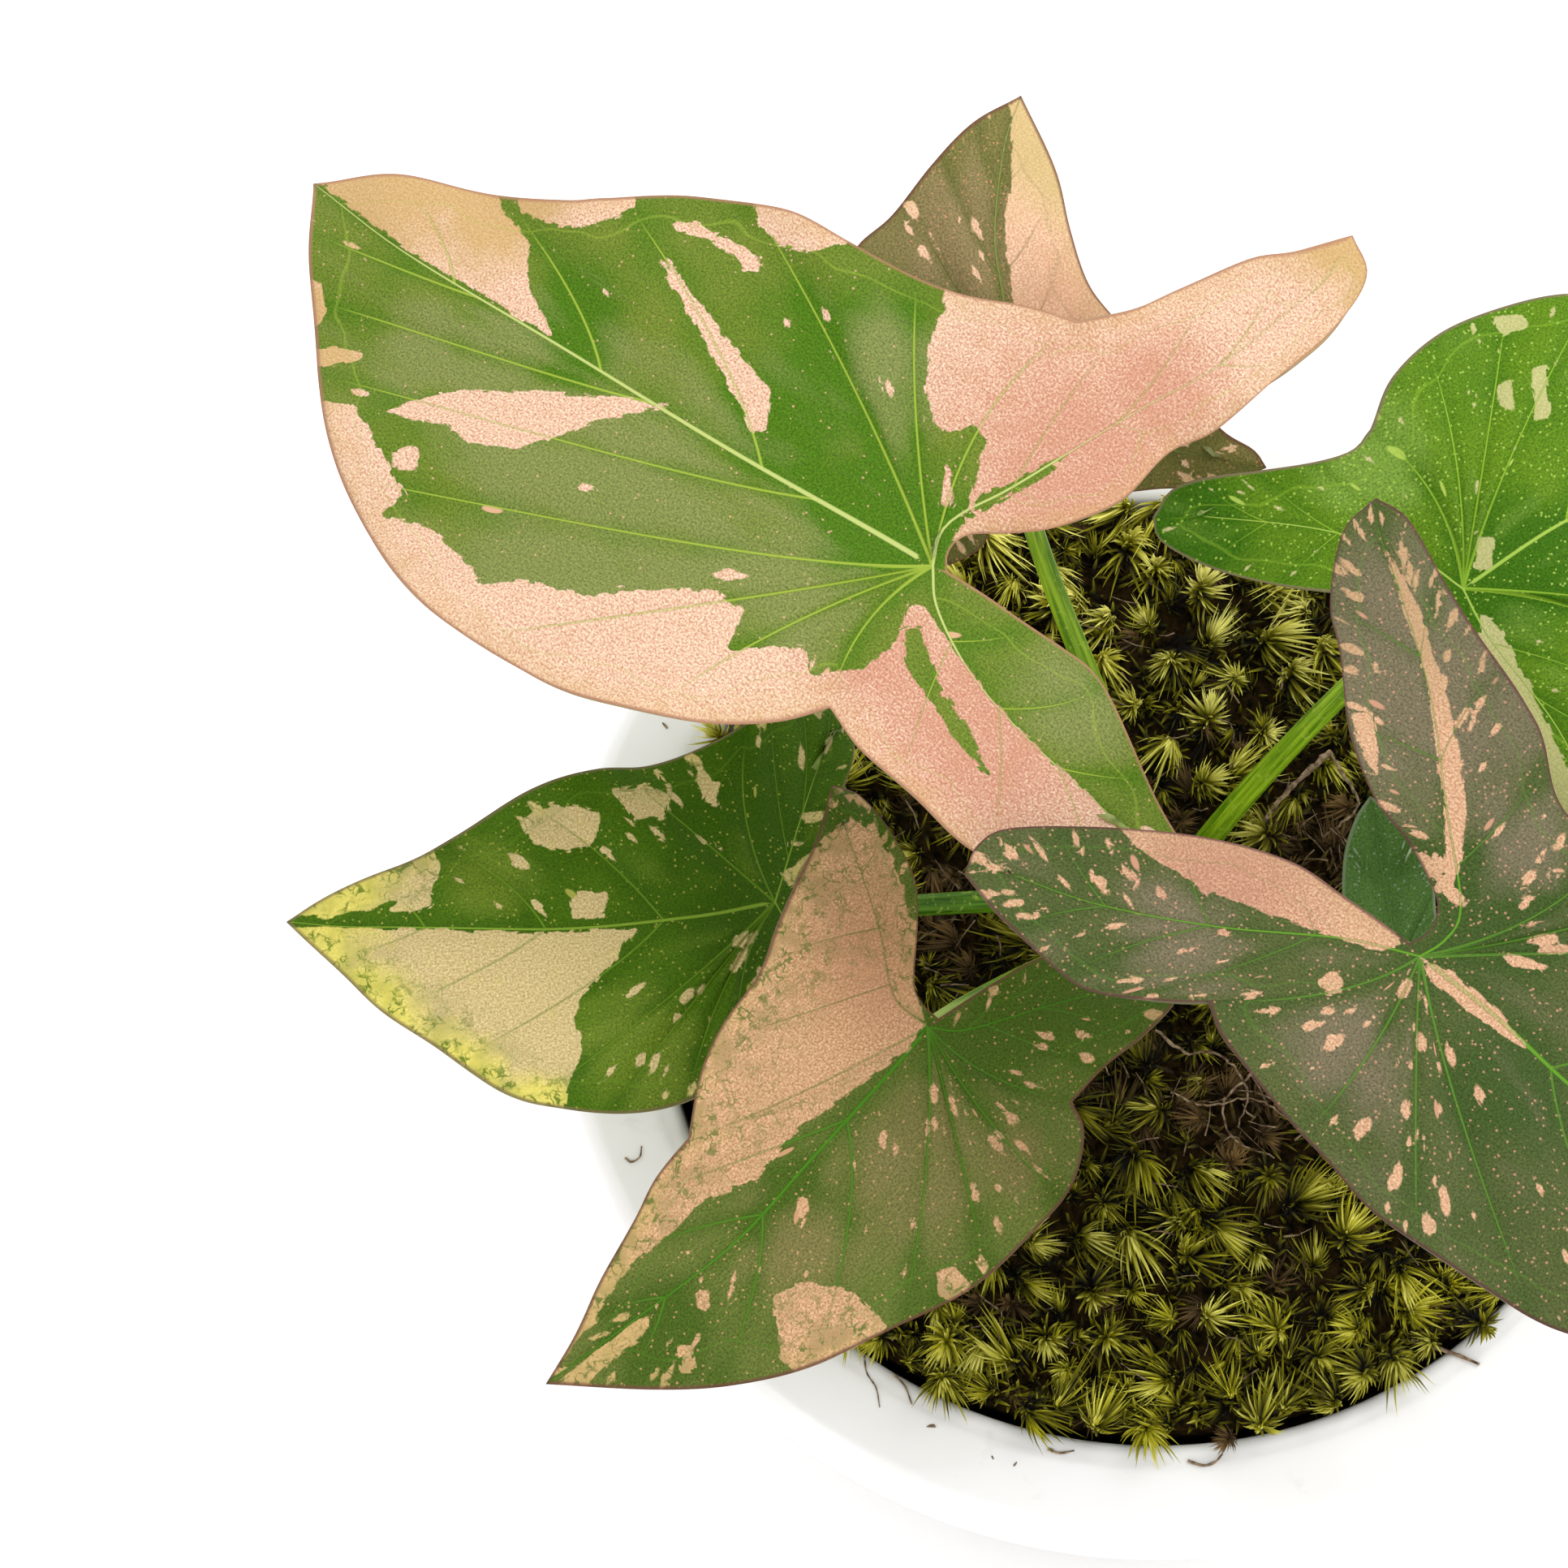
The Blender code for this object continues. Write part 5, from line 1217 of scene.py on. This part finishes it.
def make_stalk(key, material):
    """Sweep a stalk with fine ridges, a channel along its upper side and, in its
    lower part, the two low wings of its sheath."""
    path, radii = stalk_path(key)
    along = np.concatenate([[0.0], np.cumsum(np.linalg.norm(np.diff(path, axis=0), axis=1))])
    tangents = np.gradient(path, axis=0)
    tangents /= np.linalg.norm(tangents, axis=1, keepdims=True)
    inward = np.array([CROWN[0] - LEAVES[key]["joint"][0], CROWN[1] - LEAVES[key]["joint"][1], 0])
    inward = inward / np.linalg.norm(inward)
    points = []
    looks = []
    for centre, radius, tangent, way in zip(path, radii, tangents, along):
        groove = inward - tangent * (inward @ tangent)
        groove /= np.linalg.norm(groove)
        beside = np.cross(tangent, groove)
        share = way / along[-1]
        for k in range(STALK_SIDES):
            angle = 2 * math.pi * k / STALK_SIDES
            from_groove = abs((angle + math.pi) % (2 * math.pi) - math.pi)
            channel = 0.14 * math.exp(-(from_groove / 0.30) ** 2)
            wing = 0.16 * math.exp(-((from_groove - 0.75) / 0.22) ** 2) * max(0.0, 1 - 2 * share)
            ridge = 0.015 * math.cos(7 * angle)
            out = radius * (1.0 - channel + wing + ridge)
            points.append(centre + out * (math.cos(angle) * groove + math.sin(angle) * beside))
            looks.append((out * math.cos(angle), out * math.sin(angle), way))
    rings = len(path)
    triangles = []
    for i in range(rings - 1):
        for k in range(STALK_SIDES):
            a, b = i * STALK_SIDES + k, i * STALK_SIDES + (k + 1) % STALK_SIDES
            triangles += [(a, b, b + STALK_SIDES), (a, b + STALK_SIDES, a + STALK_SIDES)]
    for ring, order in ((0, -1), (rings - 1, 1)):
        points.append(path[ring])
        looks.append((0.0, 0.0, along[ring]))
        hub = len(points) - 1
        for k in range(STALK_SIDES):
            a, b = ring * STALK_SIDES + k, ring * STALK_SIDES + (k + 1) % STALK_SIDES
            triangles.append((hub, a, b)[::order])
    looks = np.array(looks)
    mesh = mesh_from_arrays(f"petiole_{key}_stalk", points, triangles)
    store(mesh, "stalk_place", looks)
    store(mesh, "stalk_neck", np.clip((looks[:, 2] - along[-1] + 11.0) / 10.0, 0.0, 1.0) ** 2)
    return link_piece(f"petiole_{key}_stalk", mesh, material, f"petiole_{key}")


# Pot.

def rounded_corners(profile, radius):
    """Round the inner corners of a profile with short curves."""
    points = [np.array(p, dtype=float) for p in profile]
    made = [points[0]]
    for before, corner, after in zip(points, points[1:], points[2:]):
        back, ahead = before - corner, after - corner
        start = corner + back * min(0.45, radius / np.linalg.norm(back))
        end = corner + ahead * min(0.45, radius / np.linalg.norm(ahead))
        for t in (0.0, 0.33, 0.67, 1.0):
            made.append(start * (1 - t) ** 2 + corner * 2 * t * (1 - t) + end * t ** 2)
    return made + [points[-1]]


def pot_profile():
    """Radius and height round the pot's section, from its underside's centre."""
    top = POT_HEIGHT
    rim = RIM_RADIUS
    mouth = MOUTH_RADIUS
    return [
        (0.0, 0.0), (BASE_RADIUS - 3.0, 0.0), (BASE_RADIUS - 1.0, 0.8), (BASE_RADIUS, 3.0),
        (mouth + 2.4, top - RIM_DEPTH - 3.0), (mouth + 3.4, top - RIM_DEPTH - 0.6),
        (rim - 3.0, top - RIM_DEPTH), (rim - 0.8, top - RIM_DEPTH + 0.8),
        (rim, top - RIM_DEPTH + 3.0), (rim, top - 3.0), (rim - 0.6, top - 1.0),
        (rim - 2.2, top), (mouth + 3.2, top), (mouth + 2.4, top - 0.2),
        (mouth + 1.2, top - 0.35), (mouth + 0.3, top - 1.0), (mouth, top - 2.5),
        (mouth - 1.2, top - 14.0), (BASE_RADIUS - WALL, FLOOR + 2.0),
        (BASE_RADIUS - WALL - 2.0, FLOOR), (0.0, FLOOR),
    ]


def turn_profile(name, profile, steps):
    """Turn a profile of (radius, height) points once round the Z axis."""
    bm = bmesh.new()
    points = [bm.verts.new((r * MM, 0.0, z * MM)) for r, z in profile]
    edges = [bm.edges.new(pair) for pair in zip(points, points[1:])]
    bmesh.ops.spin(bm, geom=points + edges, axis=(0, 0, 1), cent=(0, 0, 0), steps=steps,
                   angle=2 * math.pi)
    bmesh.ops.remove_doubles(bm, verts=bm.verts, dist=0.01 * MM)
    bmesh.ops.recalc_face_normals(bm, faces=bm.faces)
    mesh = mesh_from_bmesh(name, bm)
    mesh.shade_smooth()
    return mesh


def make_pot(material):
    """Turn the pot with rounded edges."""
    mesh = turn_profile("pot_body", rounded_corners(pot_profile(), 0.8), POT_STEPS)
    return link_piece("pot_body", mesh, material, "pot")


# Moss.

def moss_top(radius):
    """Height of the moss cushion under its shoots."""
    return MOSS_MIDDLE_Z - (MOSS_MIDDLE_Z - MOSS_EDGE_Z) * (radius / MOSS_RADIUS) ** 3


def make_cushion(material):
    """Lay the rough dark cushion that the shoots grow from, filling the pot's mouth."""
    edge = MOSS_RADIUS - 0.3
    profile = [(0.0, SOIL_MIDDLE_Z + 1.0), (edge - 1.2, SOIL_MIDDLE_Z - 1.5),
               (edge - 0.3, MOSS_EDGE_Z - 5.0), (edge, MOSS_EDGE_Z - 2.5)]
    profile += [(r * edge, moss_top(r * edge) - 1.2) for r in np.linspace(0.985, 0.0, 60)]
    mesh = turn_profile("moss_cushion", profile, 220)
    draw = random.Random("cushion")
    for vertex in mesh.vertices:
        if vertex.co.z > (MOSS_EDGE_Z - 2.0) * MM:
            vertex.co.z += draw.uniform(-0.45, 0.25) * MM
    return link_piece("moss_cushion", mesh, material, "moss")


def shoot_places(name, spacing, first):
    """Seeded places of moss shoots, about one step apart and off the stalks."""
    draw = random.Random(name)
    feet = [stalk_foot(key) for key in STALK_FEET]
    places = list(first)
    for _ in range(SHOOT_TRIES):
        radius = (MOSS_RADIUS - 0.9) * math.sqrt(draw.random())
        spot = polar(radius, draw.uniform(0.0, 2 * math.pi))
        if min(math.dist(spot, foot) for foot in feet) < STALK_FOOT_RADIUS + 1.0:
            continue
        if min((math.dist(spot, other) for other in places), default=FAR) < spacing:
            continue
        places.append(spot)
    return places


def rim_places():
    """Seeded places of the shoots that grow along the rim, clear of the dead one."""
    draw = random.Random("rim shoots")
    places = []
    for k in range(RIM_SHOOT_COUNT):
        turn = 2 * math.pi * (k + draw.uniform(-0.2, 0.2)) / RIM_SHOOT_COUNT
        spot = polar(RIM_SHOOT_RADIUS + draw.uniform(-1.2, 0.8), turn)
        if math.dist(spot, DEAD_SHOOT) > 3.5:
            places.append(spot)
    return places


def dryness_at(spot):
    """How dead the moss is at a place, from 0 to 1."""
    return max(min(1.0, max(0.0, 1.5 - math.dist(spot, centre) / radius * 1.5))
               for centre, radius in DRY_SPOTS)


class MossSheet:
    """Gathers slim moss leaves until they become one mesh."""

    def __init__(self):
        self.points = []
        self.faces = []
        self.looks = []

    def add_leaf(self, root, heading, bend, length, width, look):
        """Add one slim pointed leaf that bends as it goes. Its look is how light it is
        at its root and at its tip, how yellow, and how dead."""
        side = heading.cross(Vector((0.0, 0.0, 1.0)))
        side = side.normalized() if side.length > 0.05 else Vector((1.0, 0.0, 0.0))
        dull, light, tone, dead = look
        start = len(self.points)
        for along, wide in ((0.0, 0.7), (0.35, 1.0), (0.72, 0.62)):
            middle = root + (heading * along + bend * along * along) * length
            for sign in (-1.0, 1.0):
                self.points.append(tuple(middle + side * sign * wide * width * 0.5))
                self.looks.append((dull + along * (light - dull), tone, dead))
        self.points.append(tuple(root + (heading + bend) * length))
        self.looks.append((light, tone, dead))
        for a in (0, 2):
            self.faces.append((start + a, start + a + 1, start + a + 3))
            self.faces.append((start + a, start + a + 3, start + a + 2))
        self.faces.append((start + 4, start + 5, start + 6))

    def make(self, name, material):
        """Turn the gathered leaves into a piece of the moss."""
        mesh = mesh_from_arrays(name, self.points, self.faces)
        store(mesh, "moss_look", self.looks)
        return link_piece(name, mesh, material, "moss")


def fitted_length(root, reach, length):
    """Shorten a leaf that would run into the pot's wall. One that ends above the rim
    may hang over it."""
    tip = root + reach * length
    radius = math.hypot(tip.x, tip.y)
    if radius < MOUTH_RADIUS - 0.5:
        return length
    clear = tip.z > rim_top(radius) + 0.15 and radius < MOUTH_RADIUS + 4.0
    return length if clear else length * 0.45


def grow_shoot(sheet, draw, rings, base, lean, scale, looks):
    """Grow one shoot: a star of leaves, hanging outside and upright inside, that are all
    combed to one side. Its looks are how light, how yellow and how dead it is."""
    light, tone, dead = looks
    comb = Vector((*polar(1.0, draw.uniform(0.0, 2 * math.pi)), 0.0)) * draw.uniform(0.15, 0.75)
    tilt = Vector((0.0, 0.0, 1.0)).rotation_difference((lean + comb * 0.5).normalized())
    for ring, (count, rise, length) in enumerate(rings):
        inner = ring / (len(rings) - 1)
        for k in range(count):
            turn = 2 * math.pi * (k + draw.uniform(0.0, 1.6)) / count + ring
            lift = math.radians(rise + draw.gauss(0.0, 15.0))
            heading = tilt @ heading_at(lift, turn)
            bend = comb + Vector((0.0, 0.0, -0.22)) - heading * 0.10
            root = base + tilt @ Vector((0.0, 0.0, 0.5 + 2.6 * inner)) * scale
            reach = length * scale * draw.uniform(0.65, 1.1) * (1.0 + 0.4 * heading.dot(comb))
            reach = fitted_length(root, heading + bend, reach)
            glow = light * draw.uniform(0.68, 1.36)
            look = (glow * (0.02 + 0.5 * inner ** 2), min(1.0, glow * (0.42 + 0.7 * inner)),
                    min(1.0, max(0.0, tone + draw.gauss(0.0, 0.2))), dead)
            sheet.add_leaf(root, heading, bend, reach, draw.uniform(0.24, 0.38) * scale, look)


def make_shoots(material):
    """Grow the tall moss shoots, which lean over the rim near it. Those near the rim
    and at the back of the pot are painted lighter and yellower, as painted light, and
    those under the leaves darker, as painted shade."""
    sheet = MossSheet()
    draw = random.Random("moss leaves")
    rim_spots = rim_places()
    for spot in shoot_places("tall shoots", SHOOT_SPACING, (DEAD_SHOOT, *rim_spots)):
        radius = math.hypot(*spot)
        dry = dryness_at(spot)
        dead = spot == DEAD_SHOOT or draw.random() < 0.8 * dry
        # Painted light and shade: shoots out in the open near the rim and at the back of the pot
        # are drawn lighter and yellower, those under the leaves darker.
        open_air = min(1.0, (radius / 48.0) ** 2)
        back = min(1.0, max(0.0, (spot[1] - 8.0) / 18.0))
        scale = draw.uniform(0.66, 1.2) * (0.8 if dead else 1.0)
        light = draw.uniform(0.60, 1.30) * (0.66 + 0.34 * max(open_air, back)) + 0.4 * back
        tone = draw.gauss(0.42, 0.24) + 0.3 * back
        lean = Vector((draw.gauss(0.0, 0.4), draw.gauss(0.0, 0.4), 1.0)).normalized()
        lean = (lean + Vector((*spot, 0.0)) * 0.006 * (1.0 + open_air)).normalized()
        rise = draw.uniform(-2.0, 1.0) + open_air * draw.uniform(0.2, 1.6)
        if spot in rim_spots or spot == DEAD_SHOOT:
            rise = draw.uniform(1.2, 2.8)
        grow_shoot(sheet, draw, SHOOT_RINGS, Vector((*spot, moss_top(radius) + rise)), lean,
                   scale, (light, tone, 1.0 if dead else 0.3 * dry))
    return sheet.make("moss_shoots", material)


def make_low_shoots(material):
    """Grow the understorey of smaller shoots, painted duller than the tall ones as painted shade.
    """
    sheet = MossSheet()
    draw = random.Random("low moss leaves")
    for spot in shoot_places("low shoots", LOW_SHOOT_SPACING, ()):
        lean = Vector((draw.gauss(0.0, 0.4), draw.gauss(0.0, 0.4), 1.0)).normalized()
        base = Vector((*spot, moss_top(math.hypot(*spot)) + draw.uniform(-1.6, -0.6)))
        dead = 1.0 if draw.random() < 0.12 + dryness_at(spot) else 0.0
        # Painted shade: a low lightness for shoots under the tall ones.
        grow_shoot(sheet, draw, LOW_SHOOT_RINGS, base, lean, draw.uniform(0.7, 0.95),
                   (draw.uniform(0.32, 0.72), draw.gauss(0.3, 0.2), dead))
    return sheet.make("moss_low_shoots", material)


def make_undergrowth(material):
    """Fill the gaps between the shoots with short leaves that light hardly reaches, painted dark
    as painted shade.
    """
    sheet = MossSheet()
    draw = random.Random("undergrowth")
    for _ in range(UNDERGROWTH_COUNT):
        at_rim = draw.random() < UNDERGROWTH_RIM_SHARE
        radius = (draw.uniform(*UNDERGROWTH_RIM) if at_rim
                  else UNDERGROWTH_RIM[1] * math.sqrt(draw.random()))
        spot = polar(radius, draw.uniform(0.0, 2 * math.pi))
        root = Vector((*spot, moss_top(radius) + draw.uniform(-1.6, 0.3)))
        turn = draw.uniform(0.0, 2 * math.pi)
        heading = heading_at(math.radians(draw.uniform(15.0, 75.0)), turn)
        bend = Vector((0.0, 0.0, -0.2))
        reach = fitted_length(root, heading + bend, draw.uniform(1.6, 3.2))
        width = draw.uniform(0.34, 0.5)
        # Painted shade: low lightness, a little higher at the rim.
        light = draw.uniform(0.3, 0.8) if at_rim else draw.uniform(0.2, 0.6)
        sheet.add_leaf(root, heading, bend, reach, width,
                       (0.1, light, draw.random(), 0.8 * dryness_at(root[:2])))
    return sheet.make("moss_undergrowth", material)


def make_straw(material):
    """Scatter short dead moss stems between the shoots, most of them on dry spots."""
    draw = random.Random("straw")
    points, faces = [], []
    for _ in range(STRAW_TRIES):
        radius = (MOSS_RADIUS - 2.0) * math.sqrt(draw.random())
        spot = polar(radius, draw.uniform(0.0, 2 * math.pi))
        if draw.random() > 0.22 + dryness_at(spot):
            continue
        root = Vector((*spot, moss_top(radius) + draw.uniform(0.2, 2.6)))
        way = polar(1.0, draw.uniform(0.0, 2 * math.pi))
        heading = Vector((*way, draw.uniform(-0.15, 0.55)))
        long = draw.uniform(1.6, 4.6)
        if math.hypot(root.x + heading.x * long, root.y + heading.y * long) > MOSS_RADIUS:
            continue
        side = heading.cross(Vector((0.0, 0.0, 1.0))).normalized() * draw.uniform(0.09, 0.17)
        up = Vector((0.0, 0.0, 0.16))
        bend = side * draw.uniform(-2.5, 2.5)
        start = len(points)
        for along in (0.0, 0.5, 1.0):
            middle = root + heading * long * along + bend * math.sin(math.pi * along)
            taper = 1.0 - 0.7 * along
            points += [middle - side * taper, middle + side * taper, middle + up * taper]
        for a in (0, 3):
            for k in range(3):
                b = (k + 1) % 3
                faces.append((start + a + k, start + a + b, start + a + b + 3))
                faces.append((start + a + k, start + a + b + 3, start + a + k + 3))
    mesh = mesh_from_arrays("moss_straw", [tuple(p) for p in points], faces)
    return link_piece("moss_straw", mesh, material, None)


# Bits lying on the moss and on the rim.

def rim_top(radius):
    """Height of the rim's upper side at a distance from the pot's axis."""
    steps = (0.0, 0.3, 1.2, 2.4, 3.0)
    drops = (1.0, 1.0, 0.35, 0.2, 0.0)
    return POT_HEIGHT - np.interp(radius - MOUTH_RADIUS, steps, drops)


def sweep_twig(name, path, radius, material):
    """Sweep an uneven twig along a path, thinner towards its end."""
    draw = random.Random(name)
    curve = bpy.data.curves.new(name, "CURVE")
    curve.dimensions = "3D"
    curve.bevel_depth = radius * MM
    curve.bevel_resolution = 3
    curve.use_fill_caps = True
    spline = curve.splines.new("POLY")
    spline.points.add(len(path) - 1)
    for k, (point, place) in enumerate(zip(spline.points, path)):
        point.co = (*(place * MM), 1.0)
        point.radius = draw.uniform(0.75, 1.15) * (1.0 - 0.55 * k / len(path))
    return link_piece(name, curve, material, None)


def make_dry_stem(name, material):
    """Lay a dry, kinked stem on the moss, its end sunk between the shoots."""
    plan, height, radius = DRY_STEMS[name]
    draw = random.Random(name)
    path = []
    for k, (x, y) in enumerate(smooth_line(plan, TWIG_BENDS + 1)):
        share = k / TWIG_BENDS
        arch = 1.3 * math.sin(math.pi * share) - 1.4 * share ** 2
        base = moss_top(math.hypot(x, y)) + height - 2.2
        path.append(Vector((x + draw.uniform(-0.15, 0.15), y + draw.uniform(-0.15, 0.15),
                            base + arch)))
    return sweep_twig(name, path, radius, material)


def make_rim_twig(name, material):
    """Lay a twig or a root on the edge of the rim."""
    plan, radius = RIM_TWIGS[name]
    path = [Vector((x, y, rim_top(math.hypot(x, y)) + radius)) for x, y in smooth_line(plan, 14)]
    return sweep_twig(name, path, radius, material)


def make_rim_bit(name, material):
    """Lay a small splinter of bark flat on the rim."""
    (x, y), length, turn = RIM_BITS[name]
    draw = random.Random(name)
    bm = bmesh.new()
    for _ in range(14):
        place = Vector((draw.uniform(-0.5, 0.5) * length, draw.uniform(-0.22, 0.22) * length,
                        draw.uniform(0.0, 0.22) * length))
        bm.verts.new(place)
    bmesh.ops.convex_hull(bm, input=bm.verts)
    loose = [v for v in bm.verts if not v.link_faces]
    bmesh.ops.delete(bm, geom=loose, context="VERTS")
    spin = Matrix.Rotation(math.radians(turn), 4, "Z")
    lowest = min(v.co.z for v in bm.verts)
    place = Matrix.Translation((x, y, rim_top(math.hypot(x, y)) - 0.05 - lowest))
    bmesh.ops.transform(bm, matrix=Matrix.Scale(MM, 4) @ place @ spin, verts=bm.verts)
    return link_piece(name, mesh_from_bmesh(name, bm), material, None)


# Studio.

def make_studio():
    """Set a plain white floor, soft light from the upper right, and the camera."""
    bm = bmesh.new()
    bmesh.ops.create_grid(bm, x_segments=8, y_segments=8, size=3.0)
    floor = link_object("studio_floor", mesh_from_bmesh("studio_floor", bm))
    floor.data.materials.append(white_paper())
    floor.location.z = -0.2 * MM

    world = bpy.data.worlds.new("studio_air")
    world.use_nodes = True
    air = world.node_tree.nodes["Background"].inputs
    air["Color"].default_value = linear("#fdfdff")
    air["Strength"].default_value = 1.17
    bpy.context.scene.world = world

    # Two soft boxes: the key at the upper right and a weaker one behind the camera.
    for name, place, size, power in (("key_softbox", (0.55, 0.45, 1.05), 0.55, 3.7),
                                     ("fill_softbox", (-0.35, -0.7, 1.1), 0.8, 1.5)):
        light = bpy.data.lights.new(name, "AREA")
        light.size = size
        light.energy = power
        lamp = link_object(name, light)
        lamp.location = place
        aim = Vector((0.0, 0.0, POT_HEIGHT * MM)) - lamp.location
        lamp.rotation_euler = aim.to_track_quat("-Z", "Y").to_euler()

    camera = bpy.data.cameras.new("camera")
    camera.lens = CAMERA_LENS
    camera.sensor_width = SENSOR_WIDTH
    camera.clip_start = 0.01
    eye = link_object("camera", camera)
    lift = math.radians(CAMERA_ELEVATION)
    back = Vector((0.0, -math.cos(lift), math.sin(lift)))
    eye.location = (Vector(CAMERA_TARGET) + back * CAMERA_DISTANCE) * MM
    eye.rotation_euler = (-back).to_track_quat("-Z", "Y").to_euler()
    bpy.context.scene.camera = eye
    bpy.context.scene.view_settings.view_transform = "Standard"


def main():
    """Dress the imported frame."""
    make_studio()
    make_pot(white_glaze())
    earth = potting_soil()
    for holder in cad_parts["soil"].material_slots:
        holder.material = earth
    litter = moss_litter()
    make_cushion(litter)
    moss_leaf = damp_moss_leaf()
    make_shoots(moss_leaf)
    make_low_shoots(moss_leaf)
    make_undergrowth(moss_leaf)
    bark = dry_bark()
    make_straw(bark)
    stalk_skin = juicy_stalk_skin("juicy_stalk_skin", "#4f7a06", "#a3c526")
    # Leaf c's stalk runs in shade under leaf d's lobe, so it gets a darker copy of the stalk
    # skin: painted shade.
    shaded_skin = juicy_stalk_skin("shaded_stalk_skin", "#274c04", "#5c8a16")
    for key, leaf in LEAVES.items():
        make_leaf(key, leaf, waxy_leaf_skin(key))
        make_stalk(key, shaded_skin if key == "c" else stalk_skin)
    for name in DRY_STEMS:
        make_dry_stem(name, bark)
    for name in RIM_TWIGS:
        make_rim_twig(name, bark)
    for name in RIM_BITS:
        make_rim_bit(name, bark)


main()
